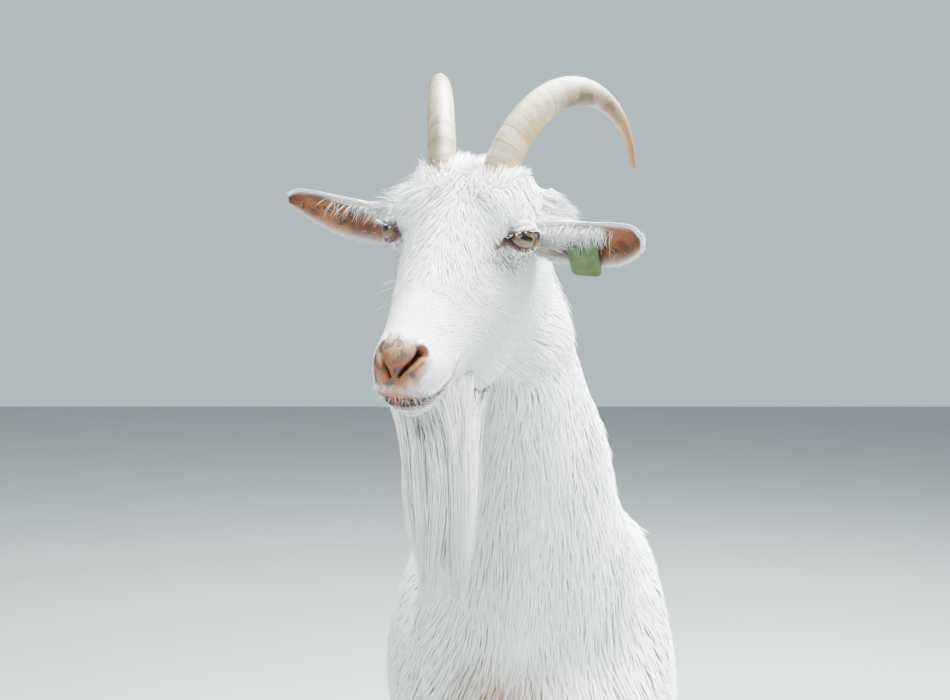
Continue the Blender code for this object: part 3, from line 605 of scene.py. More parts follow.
ear_hollow = node("Mix", COLOURS, node("MapRange", SMOOTH, blotch, 0.54, 0.66), mottled["ear"], "#43332c")
colour = node("Mix", COLOURS, blotch, "#f0ede8", "#f8f6f2")
for share, paint in (
        # grey skin and hair round the eye; over the upper lid's crease it is painted shade
        (node("Math", PRODUCT, on["round_eye"], node("MapRange", SMOOTH, broad, 0.30, 0.52)), "#565c64"),
        (node("Math", PRODUCT, on["bridge"], 0.8), "#d9a698"),
        (node("Math", PRODUCT, on["stain"], 0.6), "#b98d4c"),
        (on["chin"], "#75665a"), (on["lip"], lips), (on["tear"], mottled["tear"]), (on["dewclaw"], "#8a7a66"),
        (on["lids"], mottled["lids"]), (on["lower_lid"], mottled["lower_lid"]), (on["pad"], nose),
        # near-black nostril openings: painted shade inside the nostrils
        (on["nostril"], "#2b1a14"), (on["in_ear"], ear_hollow)):
    colour = node("Mix", COLOURS, share, colour, paint)
moist = node("Math", {"operation": "MAXIMUM"}, on["pad"], on["lids"])
wet = node("MapRange", SMOOTH, moist, 0.0, 1.0, 0.75, 0.55)
pores = node("TexVoronoi", {}, spot, 700.0)   # 1.4 mm apart
surface(colour, {"Specular IOR Level": 0.20}, wet, pores, 0.35, 0.0005)
placed("skin", skin_mesh, hide, "coat", *FLESH, "ear_left", "ear_right")

# ============================================================ Eyes
# Each eye is one smooth ball, wet and glossy in front: amber iris with fine fibres, a dark rim, and the
# goat's broad level pupil. It sits in its socket behind the lids.

PUPIL_TURN = math.radians(20.0)      # the pupil stays nearly level when the head nods
PUPIL_LONG, PUPIL_HIGH, PUPIL_RISE = 0.44, 0.155, 0.16   # half sizes and place, in eye radii
LOOK_FORWARD = 0.36                  # how far the ball is turned towards the nose, as a slope
SUM = {"operation": "ADD"}


def turned_out(mesh):
    """Turns a closed mesh's faces outwards and smooths them."""
    bm = bmesh.new()
    bm.from_mesh(mesh)
    bmesh.ops.recalc_face_normals(bm, faces=bm.faces)
    bm.to_mesh(mesh)
    bm.free()
    mesh.shade_smooth()


def hypotenuse(first, second):
    squares = (node("Math", PRODUCT, side, side) for side in (first, second))
    return node("Math", {"operation": "SQRT"}, node("Math", SUM, *squares))


# Wet cornea over a pigmented iris: sharp highlights, and colour that seems to lie just below the surface.
wet_eye, tree, shader = new_material("eye_cornea_and_iris")
on_eye = node("Attribute", {"attribute_name": "on_eye"}, output="Vector")
split = node("SeparateXYZ", {}, on_eye).node.outputs
radius = hypotenuse(split[0], split[1])
turn = node("Math", {"operation": "ARCTAN2"}, split[1], split[0])
fibre_place = node("CombineXYZ", {}, node("Math", PRODUCT, turn, 9.0), node("Math", PRODUCT, radius, 3.0))
fibre = node("TexNoise", {}, fibre_place, 2.2, 6.0, 0.65)
aside = node("Math", {"operation": "ABSOLUTE"}, split[0])
past_end = node("Math", {"operation": "SUBTRACT"}, aside, PUPIL_LONG - PUPIL_HIGH)
beyond = node("Math", {"operation": "MAXIMUM"}, past_end, 0.0)
slot_far = hypotenuse(beyond, node("Math", {"operation": "SUBTRACT"}, split[1], PUPIL_RISE))
pupil = node("MapRange", SMOOTH, slot_far, PUPIL_HIGH - 0.02, PUPIL_HIGH + 0.02, 1.0, 0.0)
iris = node("Mix", COLOURS, node("MapRange", SMOOTH, fibre, 0.3, 0.7), "#453517", "#7d6638")
for share, paint in ((node("MapRange", SMOOTH, radius, 0.48, 0.80), "#2b1f10"),
                     (node("MapRange", SMOOTH, radius, 0.84, 0.93), "#3a2c20"), (pupil, "#0b0c10")):
    iris = node("Mix", COLOURS, share, iris, paint)
surface(iris, {"Roughness": 0.22, "IOR": 1.376, "Coat Weight": 1.0, "Coat Roughness": 0.03, "Coat IOR": 1.376})

look = unit(gaze + LOOK_FORWARD * inner)
eye_axes = unit(np.stack([inner - look * (inner @ look), lift, look]))
c, s = math.cos(PUPIL_TURN), math.sin(PUPIL_TURN)
bm = bmesh.new()
bmesh.ops.create_uvsphere(bm, u_segments=64, v_segments=40, radius=1.0)
for word, way in (("left", 1), ("right", -1)):
    mesh = bpy.data.meshes.new(f"eyeball_{word}")
    bm.to_mesh(mesh)
    rays = state_of(mesh)[0]
    bulge = 1 + 0.055 * bell(np.hypot(rays[:, 0], rays[:, 1]), 0.62) * (rays[:, 2] > 0)
    place = EYE_CENTRE + (rays * bulge[:, None] * EYE_RADIUS * 0.985) @ eye_axes
    set_points(mesh, from_head(place * [1, 1, way]))
    turned = np.stack([rays[:, 0] * c + rays[:, 1] * s, rays[:, 1] * c - rays[:, 0] * s, rays[:, 2]], 1)
    store(mesh, "on_eye", turned * bulge[:, None])
    turned_out(mesh)
    placed(f"eyeball_{word}", mesh, wet_eye, "eye", f"eye_{word}")
bm.free()

# ============================================================ Horns
# Hollow sheaths of keratin over a bone core, curving up, back and out in one sweep. They are oval with a
# keel in front, ringed by each year's growth, and worn smooth and dark towards the tips.

HORN_LENGTH = 0.262
HORN_SUNK = 0.012
HORN_HIDDEN = 0.014                  # further length in the hair and hide
HORN_STEPS = 150
HORN_AROUND = 40
HORN_DEEP = 0.0190                   # half its depth at the root
HORN_RISE, HORN_SPLAY, HORN_ROLL = (math.radians(a) for a in (49, 15.5, -26.5))
HORN_TWIST = -0.68                   # radians in a metre
YEAR_RING = 0.0145

# Horn keratin: satin, cream and translucent-looking near the root, with fibres that run lengthwise.
keratin, tree, shader = new_material("horn_keratin")
along_horn, round_horn = (node("Attribute", {"attribute_name": name}, output="Fac")
                          for name in ("along_horn", "round_horn"))
cloud = node("TexNoise", {}, node("TexCoord", {}, output="Object"), 38.0, 6.0, 0.6)
strand_place = node("CombineXYZ", {}, node("Math", PRODUCT, round_horn, 46.0),
                    node("Math", PRODUCT, along_horn, 9.0))
strand = node("TexNoise", {}, strand_place, 3.0, 5.0)
rings = node("TexNoise", {}, node("CombineXYZ", {}, node("Math", PRODUCT, along_horn, 26.0)), 2.0, 4.0)
off_back = node("Math", {"operation": "ABSOLUTE"}, node("Math", {"operation": "SUBTRACT"}, round_horn, 0.5))
hollow_side = node("MapRange", SMOOTH, off_back, 0.12, 0.40, 1.0, 0.0)
low_stain = node("Math", PRODUCT, hollow_side, node("MapRange", SMOOTH, along_horn, 0.20, 0.42, 0.75, 0.0))
low_stain = node("Math", PRODUCT, low_stain, node("MapRange", SMOOTH, strand, 0.30, 0.52))
# darker, mottled band along the middle of the horn's inner curve
inner_curve_dark = node("Math", PRODUCT, node("MapRange", SMOOTH, along_horn, 0.32, 0.50),
             node("MapRange", SMOOTH, along_horn, 0.72, 0.90, 1.0, 0.0))
inner_curve_dark = node("Math", PRODUCT, inner_curve_dark, node("Math", {"operation": "MULTIPLY_ADD"}, hollow_side, 1.5, 0.2))
inner_curve_dark = node("Math", PRODUCT, inner_curve_dark, node("MapRange", SMOOTH, cloud, 0.24, 0.66))
near_tip = node("Math", SUM, along_horn, node("Math", PRODUCT, cloud, 0.12))
body = node("Mix", COLOURS, node("MapRange", SMOOTH, cloud, 0.3, 0.7), "#7f7457", "#b4aa8c")
for share, paint in ((node("MapRange", SMOOTH, strand, 0.54, 0.66, 0.0, 0.6), "#8c7858"),
                     (node("MapRange", SMOOTH, rings, 0.56, 0.62, 0.0, 0.7), "#745a3a"),
                     (low_stain, "#9a7748"), (inner_curve_dark, "#564230"),
                     (node("MapRange", SMOOTH, near_tip, 0.66, 1.00), "#7e5729")):
    body = node("Mix", COLOURS, share, body, paint)
surface(body, {"IOR": 1.54}, node("MapRange", SMOOTH, cloud, 0.3, 0.7, 0.48, 0.36),
        node("Math", SUM, strand, node("Math", PRODUCT, rings, 1.5)))

step = HORN_LENGTH / HORN_STEPS
along = Vector((math.cos(HORN_RISE) * math.sin(HORN_SPLAY), math.cos(HORN_RISE) * math.cos(HORN_SPLAY),
                math.sin(HORN_RISE)))
bend = Vector((0, 1, 0)) - along * along.y
bend.normalize()
bend = bend * math.cos(HORN_ROLL) + along.cross(bend) * math.sin(HORN_ROLL)
middle = Vector((0.0272, -0.0462, 0.0680)) - along * HORN_SUNK
horn_rows = []                       # the left horn: place on the head's axes, share along, share round
for i in range(HORN_STEPS + 1):
    t = i / HORN_STEPS
    travelled = i * step
    deep = HORN_DEEP * (1 - 0.80 * t ** 1.5) * (1 - 0.35 * max(0.0, t - 0.8) / 0.2)
    deep *= math.sqrt(max(0.0, 1 - max(0.0, (t - 0.985) / 0.016) ** 2)) * 0.97 + 0.03
    ring = 0.00022 * math.sin(2 * math.pi * travelled / YEAR_RING + 1.7 * math.sin(travelled * 90))
    ring += 0.00008 * math.sin(2 * math.pi * travelled / 0.0041)
    deep += ring * (1 - t) ** 0.7
    across = along.cross(bend) * deep * (0.68 + 0.10 * t)
    start = middle - along * HORN_HIDDEN if i == 0 else middle
    for k in range(HORN_AROUND):
        angle = 2 * math.pi * k / HORN_AROUND
        keel = 1.0 - 0.16 * max(0.0, math.cos(angle)) ** 2
        place = start - bend * deep * math.cos(angle) + across * keel * math.sin(angle)
        horn_rows.append((place, t, k / HORN_AROUND))
    curl = (6.6 + 27.0 * travelled) * step
    along, bend = (along * math.cos(curl) + bend * math.sin(curl),
                   bend * math.cos(curl) - along * math.sin(curl))
    twist = HORN_TWIST * step
    bend = bend * math.cos(twist) + along.cross(bend) * math.sin(twist)
    middle = middle + along * step
for word, way in (("left", 1), ("right", -1)):
    mesh = bpy.data.meshes.new(f"horn_sheath_{word}")
    mesh.from_pydata([head_frame @ Vector((way * p.x, p.y, p.z)) for p, _, _ in horn_rows], [],
                     tube_faces(HORN_STEPS + 1, HORN_AROUND))
    turned_out(mesh)
    store(mesh, "along_horn", np.array([row[1] for row in horn_rows]))
    store(mesh, "round_horn", np.array([row[2] for row in horn_rows]))
    placed(f"horn_sheath_{word}", mesh, keratin, "horn", f"horn_{word}")

# ============================================================ Coat
# White hair in thousands of small pointed tufts of solid mesh, rooted in the skin. They lie the way a
# goat's coat does: down and outwards over the forehead, back from the nose, down the neck and legs.

skin_count = len(points)
local = in_head(points)
side = mirrored(local)
sign = np.tanh(local[:, 2] / 0.014)
ahead, high, _ = side.T
head_normals = normals @ head_turn
top_facing = smoothstep(head_normals[:, 2], 0.25, 0.70)
eye_far = far(side, EYE_CENTRE)


def ways(*shares):
    """A direction for every skin point, from three shares that are numbers or rows."""
    return np.stack(np.broadcast_arrays(*shares, ahead)[:3], 1)


def blended(*rows):
    """Directions summed by their shares."""
    return unit(sum(direction * share[:, None] for direction, share in rows))


# how the hair lies on the head: forward and outwards over the forehead, back and down over the cheeks,
# back behind the eye and along the muzzle, and away from the eye
over_muzzle = smoothstep(ahead, 0.160, 0.195)
behind_eye = (1 - smoothstep(ahead, 0.045, 0.085)) * smoothstep(high, -0.02, 0.01) * (1 - top_facing)
head_flow = blended((ways(1.0, 0.0, 0.95 * sign), top_facing * (1 - over_muzzle)),
                    (ways(-0.70, -0.80, 0.12 * sign),
                     (1 - top_facing) * (1 - over_muzzle) * (1 - behind_eye)),
                    (ways(-1.0, 0.05, 0.5 * sign), behind_eye),
                    (ways(-1.0, -0.25, 0.55 * sign), over_muzzle))
off_eye = side - EYE_CENTRE
away = unit(off_eye - gaze * (off_eye @ gaze)[:, None])
away[:, 2] *= np.sign(local[:, 2])
eye_near = bell(eye_far, 0.022)
head_flow = blended((head_flow, 1 - eye_near), (away, eye_near))

# how it lies on the body: down the neck, back along the top line, back and down over the ribs
x_side = np.tanh(points[:, 0] / 0.03)
facing_up, facing_down = (smoothstep(way * normals[:, 2], 0.45, 0.90) for way in (1, -1))
facing_front = smoothstep(-normals[:, 1], 0.50, 0.90)
trunk_flow = blended((ways(0.35 * x_side, 1.0, -0.15), facing_up), (ways(0.0, 1.0, -0.3), facing_down),
                     (ways(0.0, 0.05, -1.0), facing_front * (1 - facing_down)),
                     (ways(0.0, 0.50, -0.85), np.clip(1 - facing_up - facing_down - facing_front, 0, 1)))
tail_low, tail_high = (np.array(corner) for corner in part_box("tail"))
flow = blended((head_direction(head_flow), on_head), (ways(0.06 * x_side, 0.10, -1.0), on_neck),
               (trunk_flow, on_trunk), (ways(0.0, 0.12, -1.0), on_upper_leg + on_lower_leg),
               (unit((tail_high - tail_low) * [0, 1, 1]), on_tail))
for _ in range(8):
    flow = relaxed(flow, edges, 3)
    flow = unit(flow - normals * np.sum(flow * normals, axis=1)[:, None])

# the head's hair is longest on poll, jaw and throat, and shortest round eyes, tear grooves and mouth
poll = smoothstep(-ahead, -0.075, -0.035) * smoothstep(high, 0.030, 0.060)
jaw_edge = smoothstep(-high, 0.045, 0.095) * (1 - smoothstep(ahead, 0.15, 0.20))
throat = (1 - smoothstep(ahead, 0.03, 0.10)) * smoothstep(-high, 0.02, 0.08)
lid_gap, _, lid_front = eye_opening(side)
on_lid = (1 - smoothstep(lid_gap, 0.004, 0.011)) * (lid_front > 0.05) * (eye_far < 0.03)
off_tear, off_mouth = nearest_on_line(side, TEAR_GROOVE)[0], over_mouth(side)
head_length = 0.0135 + 0.007 * top_facing + 0.013 * poll + 0.012 * jaw_edge + 0.012 * throat
head_length = head_length * (1 - over_muzzle) + 0.0075 * over_muzzle
head_length -= 0.0035 * smoothstep(ahead, 0.205, 0.240)
for share in (0.60 * bell(eye_far, 0.024), 0.60 * on_lid, 0.60 * bell(off_tear, 0.013),
              0.72 * bell(off_mouth, 0.0110) * smoothstep(ahead, 0.180, 0.195),
              0.45 * smoothstep(ahead, 0.244, 0.256)):
    head_length *= 1 - share
brisket = facing_front * smoothstep(-points[:, 2], -0.62, -0.50)
# share of the skin, then length and width of the tufts in metres, and layers of hair over the skin
COAT = ((on_head, head_length, 0.0008 + 0.031 * head_length, 3.6), (on_neck, 0.046, 0.0022, 4.8),
        (on_trunk, 0.040 + 0.014 * brisket, 0.0037, 2.2), (on_upper_leg, 0.030, 0.0031, 2.4),
        (on_lower_leg, 0.0135, 0.0021, 2.0), (on_tail, 0.052, 0.0026, 4.0))
length, width, cover = (relaxed(sum(row[0] * row[k] for row in COAT), edges, 6) for k in (1, 2, 3))
grown = (1 - smoothstep(bare, 0.25, 0.60)) * smoothstep(points[:, 2], 0.044, 0.050)
for share in (0.45 * marks["round_eye"], 0.8 * marks["bridge"], 0.93 * marks["chin"], 0.5 * marks["lid_fur"],
              0.92 * bell(off_mouth, 0.0066) * smoothstep(ahead, 0.184, 0.195),
              0.70 * bell(off_tear, 0.0080)):
    grown *= 1 - share
crowding = cover / (0.5 * width * length) * grown

HORN_ROOT = np.array([0.0462, 0.0680, 0.0272])
HORN_WAY = np.array([-0.632, 0.755, 0.175])


def off_horn_axis(places):
    """The part of each place's way from a horn's root that is square to the horn."""
    off = places - HORN_ROOT
    return off - (off @ HORN_WAY)[:, None] * HORN_WAY


off_horn = far(off_horn_axis(side), 0)
ruff = bell(off_horn - 0.018, 0.007) * smoothstep(high, 0.035, 0.055)
neck_folds = on_neck * np.sin(2 * math.pi * (points[:, 0] - 0.20 * points[:, 2]) / 0.064)
height = depth + 0.006 * ruff + 0.007 * bell(far(side, [0.040, 0.042, 0.052]), 0.018) + 0.0032 * neck_folds

skin_tree = BVHTree.FromPolygons([Vector(p) for p in points], [
    tuple(f.vertices) for f in skin_mesh.polygons if max(f.vertices) < skin_count])
skin_mesh.calc_loop_triangles()
triangles = read(skin_mesh.loop_triangles, "vertices", 3, np.int32)
triangles = triangles[triangles.max(1) < skin_count]
corners = points[triangles]
areas = 0.5 * np.linalg.norm(np.cross(corners[:, 1] - corners[:, 0], corners[:, 2] - corners[:, 0]), axis=1)
rng = np.random.default_rng(40)


def even_shares(draw, count):
    """Random places within triangles, as shares of the three corners."""
    first, second = np.sqrt(draw.random(count)), draw.random(count)
    return np.stack([1 - first, first * (1 - second), first * second], 1)


def scatter(chosen):
    """Root places over the chosen triangles, as thick as the coat grows there."""
    faces = np.nonzero(chosen)[0]
    weights = np.cumsum(areas[faces] * crowding[triangles[faces]].mean(1))
    count = int(weights[-1])
    picks = np.searchsorted(weights, (np.arange(count) + rng.random(count)) / count * weights[-1])
    return triangles[faces[np.minimum(picks, len(faces) - 1)]], even_shares(rng, count)


def by_area(draw, chosen, count):
    """Corners of random triangles whose three points are all chosen."""
    faces = np.nonzero(chosen[triangles].all(1))[0]
    weights = np.cumsum(areas[faces])
    return triangles[faces[np.searchsorted(weights, draw.random(count) * weights[-1])]]


def sampled(values, ids, shares):
    return np.einsum("nk,nk...->n...", shares, values[ids])


def traced(roots, flow, length, segments):
    """Points and normals on the skin, followed from each root along the lie of the hair."""
    places, ups = np.zeros((2, segments + 1, len(roots), 3))
    for i in range(len(roots)):
        at, way = Vector(roots[i]), Vector(flow[i])
        for k in range(segments + 1):
            spot, up, _, _ = skin_tree.find_nearest(at)
            places[k, i], ups[k, i] = spot, up
            way = (way - up * way.dot(up)).normalized()
            at = spot + way * (length[i] / segments)
    return places, ups


def gathered(places, roots, reach, pull, seed):
    """Draws the tips of neighbouring tufts together into locks of about that many."""
    leaders = np.random.default_rng(seed).permutation(len(roots))[:max(1, len(roots) // reach)]
    finder = KDTree(len(leaders))
    for k, i in enumerate(leaders):
        finder.insert(roots[i], k)
    finder.balance()
    lead = leaders[[finder.find(p)[1] for p in roots]]
    for k in range(1, len(places)):
        places[k] += (places[k][lead] - places[k]) * pull * (k / (len(places) - 1)) ** 1.5


ROUNDED = 0.42                       # how far a tuft's edges turn the light aside
BAKE_HALF = 0.0015                   # half of a tuft's patch on its UV map


def tuft_mesh(name, places, ups, heights, widths, tags, bake_at, sunk=0.0012, flat=0.30, soft=False):
    """Closed three-sided blades along the given lines, each a flat-bottomed lock that ends in a point."""
    steps, count = len(places) - 1, len(places[0])
    size = 3 * steps + 1
    lines = places + ups * heights[:, :, None]
    lines[0] -= ups[0] * sunk
    verts, shine = np.zeros((2, count, size, 3))
    tips = np.ones((count, size))
    across_uv = np.zeros((count, size, 2))
    for k in range(steps):
        ahead = unit(lines[k + 1] - lines[max(k - 1, 0)])
        across = unit(np.cross(ups[k], ahead))
        above = np.cross(ahead, across)
        t = k / steps
        half = widths * 0.5 * (1 - 0.75 * t ** 1.6) * (0.80 if k == 0 else 1.0)
        for j, (sideways, up) in enumerate(((-1, 0), (1, 0), (0, 2 * flat))):
            verts[:, 3 * k + j] = (lines[k] + across * (half * sideways)[:, None]
                                   + above * (half * up)[:, None])
            across_uv[:, 3 * k + j] = (sideways, 2 * t - 1)
            shine[:, 3 * k + j] = ups[k] + across * (ROUNDED * sideways)
        tips[:, 3 * k:3 * k + 3] = t
    verts[:, -1], shine[:, -1], across_uv[:, -1] = lines[-1], ups[-1], (0, 1)
    faces = [(2, 1, 0)]
    for k in range(0, 3 * steps - 3, 3):
        for j, n in ((0, 1), (1, 2), (2, 0)):
            faces += [(k + j, k + n, k + 3 + n), (k + j, k + 3 + n, k + 3 + j)]
    top = 3 * (steps - 1)
    faces = np.array(faces + [(top + j, top + (j + 1) % 3, 3 * steps) for j in range(3)])
    loops = (faces[None] + (np.arange(count) * size)[:, None, None]).reshape(-1)
    mesh = bpy.data.meshes.new(name)
    mesh.vertices.add(count * size)
    mesh.vertices.foreach_set("co", verts.astype(np.float32).ravel())
    mesh.loops.add(len(loops))
    mesh.loops.foreach_set("vertex_index", loops.astype(np.int32))
    mesh.polygons.add(len(loops) // 3)
    mesh.polygons.foreach_set("loop_start", np.arange(0, len(loops), 3, dtype=np.int32))
    mesh.polygons.foreach_set("loop_total", np.full(len(loops) // 3, 3, np.int32))
    mesh.update(calc_edges=True)
    spread = bake_at[:, None, :] + across_uv * BAKE_HALF
    mesh.uv_layers.new(name="OFBake").data.foreach_set(
        "uv", spread.reshape(-1, 2)[loops].astype(np.float32).ravel())
    store(mesh, "tip", tips.ravel())
    for tag in ("tuft", "stain", "grey", "cream"):
        store(mesh, tag, np.repeat(np.broadcast_to(tags.get(tag, 0.0), count), size))
    mesh.shade_smooth()
    if soft:
        mesh.normals_split_custom_set_from_vertices(unit(shine.reshape(-1, 3)).astype(np.float32))
    return mesh


# Goat's guard hair: white, dry and softly shining, a little creamier and darker at the root than at the tip,
# partly the hair's own tint and partly painted shade deep in the coat.
hair, tree, shader = new_material("white_goat_hair")
tuft, tip, stain, cream, grey = (node("Attribute", {"attribute_name": name}, output="Fac")
                                 for name in ("tuft", "tip", "stain", "cream", "grey"))
white = node("Mix", COLOURS, tuft, "#f2f4f1", "#fcfefc")
for share, paint in (
        # root share: partly cream tint, partly painted shade where the coat is deep
        (node("MapRange", SMOOTH, tip, 0.0, 0.45, 0.18, 0.0), "#e6e0d6"),
        (node("Math", PRODUCT, stain, node("MapRange", SMOOTH, tuft, 0.1, 0.9, 0.5, 1.0)), "#9a682b"),
        (node("Math", PRODUCT, cream, 0.5), "#e2d6ae"),
        # grey hair round the eye and chin; at the crease over the upper lid it is painted shade
        (node("Math", PRODUCT, grey, node("MapRange", SMOOTH, tuft, 0.30, 0.60, 1.0, 0.08)), "#555b60")):
    white = node("Mix", COLOURS, share, white, paint)
surface(white, {"Roughness": 0.55, "Specular IOR Level": 0.20})


def around(across, along, low, high):
    """A place on the unwrapped skin: the angle round a limb or barrel, and how far along it."""
    turn = np.arctan2(across[:, 0], across[:, 1]) / (2 * math.pi) + 0.5
    return np.stack([0.01 + 0.98 * turn, 0.01 + 0.98 * np.clip((along - low) / (high - low), 0, 1)], 1)


def unwrap_head(roots):
    at = in_head(roots)
    return around(np.stack([at[:, 2], at[:, 1] + 0.02], 1), at[:, 0], -0.05, 0.27)


def unwrap_neck(roots):
    return around(roots[:, :2] * [1, -1] - [-0.01, 0.29], roots[:, 2], 0.60, 1.20)


def unwrap_trunk(roots):
    return around(roots[:, ::2] - [0, 0.60], roots[:, 1], -0.45, 0.55)


def unwrap_legs(roots):
    centre_y = np.where(roots[:, 1] < 0.1, -0.20, 0.42)
    leg = around(np.stack([np.abs(roots[:, 0]) - 0.11, roots[:, 1] - centre_y], 1), roots[:, 2], 0.0, 0.62)
    return leg * [0.5, 1] + np.where(roots[:, :1] > 0, 0.5, 0.0) * [1, 0]


STRAY = 0.02                         # share of tufts that stand proud of the rest


def coat_piece(name, chosen, segments, lock_size, pull, unwrap):
    """One piece of the coat over the chosen skin triangles."""
    seed = len(name) * 7 + segments
    draw = np.random.default_rng(seed)
    at = scatter(chosen)
    count = len(at[0])
    roots = sampled(points, *at)
    up = unit(sampled(normals, *at))
    way = sampled(flow, *at)
    turn = draw.normal(0, 0.16, count)[:, None]
    way = unit(way * np.cos(turn) + np.cross(up, way) * np.sin(turn))
    long = sampled(length, *at) * draw.uniform(0.7, 1.25, count)
    wide = sampled(width, *at) * draw.uniform(0.75, 1.25, count)
    places, ups = traced(roots, way, long, segments)
    gathered(places, roots, lock_size, pull, seed)
    rise = sampled(height, *at) * draw.uniform(0.50, 1.00, count)
    rise = np.where(draw.random(count) < STRAY, rise * draw.uniform(1.1, 1.6, count), rise)
    t = np.linspace(0, 1, segments + 1)[:, None]
    marks = markings(roots)
    # the grey tag includes painted shade at the crease over the upper lid
    tags = {"tuft": draw.random(count), "stain": marks["stain"],
            "grey": np.maximum(marks["round_eye"], 0.8 * marks["chin"]),
            "cream": 0.5 * bell(far(in_head(roots), [0.17, 0.03, 0]), 0.05)}
    mesh = tuft_mesh(name, places, ups, rise * (1 - (1 - t) ** 1.6), wide, tags, unwrap(roots), soft=True)
    placed(name, mesh, hair, "coat")


def of_parts(*names):
    return np.isin(part_of[triangles[:, 0]], [FLESH.index(n) for n in names])


on_left = corners.mean(1)[:, 0] > 0.03
front_face, _, head_left = (in_head(corners.mean(1)) > [0.135, 0, 0]).T
for part, chosen, left, segments, lock_size, pull, unwrap in (
        ("face", of_parts("head") & front_face, head_left, 2, 5, 0.22, unwrap_head),
        ("cheek", of_parts("head") & ~front_face, head_left, 2, 9, 0.33, unwrap_head),
        ("neck", of_parts("neck"), on_left, 3, 9, 0.34, unwrap_neck),
        ("trunk", of_parts("trunk"), on_left, 2, 7, 0.34, unwrap_trunk),
        ("forelegs", of_parts(*LEGS[:4]), None, 2, 6, 0.35, unwrap_legs),
        ("hindlegs", of_parts(*LEGS[4:]), None, 2, 6, 0.35, unwrap_legs),
        ("tail", of_parts("tail"), None, 3, 8, 0.35, unwrap_trunk)):
    halves = [("", chosen)] if left is None else [("_left", chosen & left), ("_right", chosen & ~left)]
    for word, half in halves:
        coat_piece(f"coat_{part}{word}", half, segments, lock_size, pull, unwrap)


def free_tufts(name, chosen, count, seed, ways, low_long, high_long, widths):
    """Hair that stands free of the skin, on both sides of the head, from the skin points chosen."""
    draw = np.random.default_rng(seed)
    ids = by_area(draw, chosen & (on_head > 0.9), count)
    roots = sampled(points, ids, draw.dirichlet((1, 1, 1), count))
    flip = np.sign(in_head(roots)[:, 2:3]) * [0, 0, 1] + [1, 1, 0]
    first, last, up, long = ways(mirrored(in_head(roots)), draw)
    half = (long * draw.uniform(low_long, high_long, count) / 2)[:, None]
    lines = [roots, roots + head_direction(first * flip) * half]
    lines.append(lines[-1] + head_direction(last * flip) * half)
    ups = np.repeat(head_direction(up * flip)[None], 3, axis=0)
    tags = {"tuft": draw.random(count)}
    mesh = tuft_mesh(name, np.array(lines), ups, np.zeros((3, count)), draw.uniform(*widths, count), tags,
                     unwrap_head(roots))
    placed(name, mesh, hair, "coat")


def up_the_horn(places, draw):
    """Ways for the ruff that stands up round a horn and leans out at its edge."""
    from_axis = off_horn_axis(places)
    lean = smoothstep(far(from_axis, 0), 0.012, 0.026)[:, None]
    from_axis = unit(from_axis)
    first = unit(HORN_WAY * (1.0 - 0.45 * lean) + from_axis * (0.08 + 0.40 * lean)
                 + draw.normal(0, 0.13, places.shape))
    last = unit(first + from_axis * 0.55 + draw.normal(0, 0.10, places.shape))
    return first, last, from_axis, 0.0168 - 0.0085 * lean[:, 0]


def on_to_the_ear(places, draw):
    """Ways for the hair that runs from the crown on to the upper side of an ear's root."""
    first, last = (unit(np.array(way) + draw.normal(0, 0.12, places.shape))
                   for way in ([0.12, 0.02, 0.95], [0.42, -0.16, 0.86]))
    return first, last, unit(np.array([0.1, 0.95, 0.35])) * np.ones((len(places), 1)), 0.029


by_horn = (off_horn > 0.009) & (off_horn < 0.026) & (high > 0.030)
free_tufts("coat_horn_ruff", by_horn, 3000, 31, up_the_horn, 0.55, 1.25, (0.0010, 0.0019))
by_ear = far(side / [1.2, 1.0, 1.0], [0.040 / 1.2, 0.028, 0.058]) < 0.016
free_tufts("coat_ear_roots", by_ear, 1800, 32, on_to_the_ear, 0.55, 1.2, (0.0011, 0.0020))

# ============================================================ Beard
# Long straight hair hanging free from the chin and the underside of the jaw, cream white, drawn together
# into locks that end in two points.

BEARD_STRANDS = 6600
BEARD_STEPS = 5
LOCKS = 42

beard_low, beard_high = (np.array(corner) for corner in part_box("beard"))
beard_middle = (beard_low + beard_high) / 2
half_wide, half_deep, _ = (beard_high - beard_low) / 2 * [0.96, 0.62, 1.0]
draw = np.random.default_rng(12)
chin_under = (ahead > 0.112) & (ahead < 0.233) & (head_normals[:, 2] < -0.25)
chin_under &= (side[:, 2] < 0.030) & (high < -0.052) & (high > -0.125)
at = (by_area(draw, chin_under, BEARD_STRANDS), even_shares(draw, BEARD_STRANDS))
roots = sampled(points, *at)
draw.integers(0, LOCKS, BEARD_STRANDS)   # unused, but the draws after it depend on it
lock_across, lock_deep = draw.uniform(-1, 1, (2, LOCKS))
order = np.argsort(lock_across)
root_order = np.argsort(np.argsort(roots[:, 0] + draw.normal(0, 0.004, BEARD_STRANDS)))
locks = order[root_order * LOCKS // BEARD_STRANDS]
across, deep = lock_across[locks], lock_deep[locks]
long_side = across > 0.15            # which of the two points a strand hangs to
point_x = np.where(long_side, 0.42, -0.34) * half_wide + 0.10 * across * half_wide
drop = np.where(long_side, 1.0, 0.965) * draw.uniform(0.55, 1.0, BEARD_STRANDS) ** 0.45
drop *= (roots[:, 2] - beard_low[2]) * (1 - 0.20 * across ** 2)
wave_turn = draw.uniform(0, 2 * math.pi, LOCKS)[locks] + draw.normal(0, 0.5, BEARD_STRANDS)
own_x, own_y = draw.normal(0, 0.0030, (2, BEARD_STRANDS))
lines = np.repeat(roots[None], BEARD_STEPS + 1, axis=0)
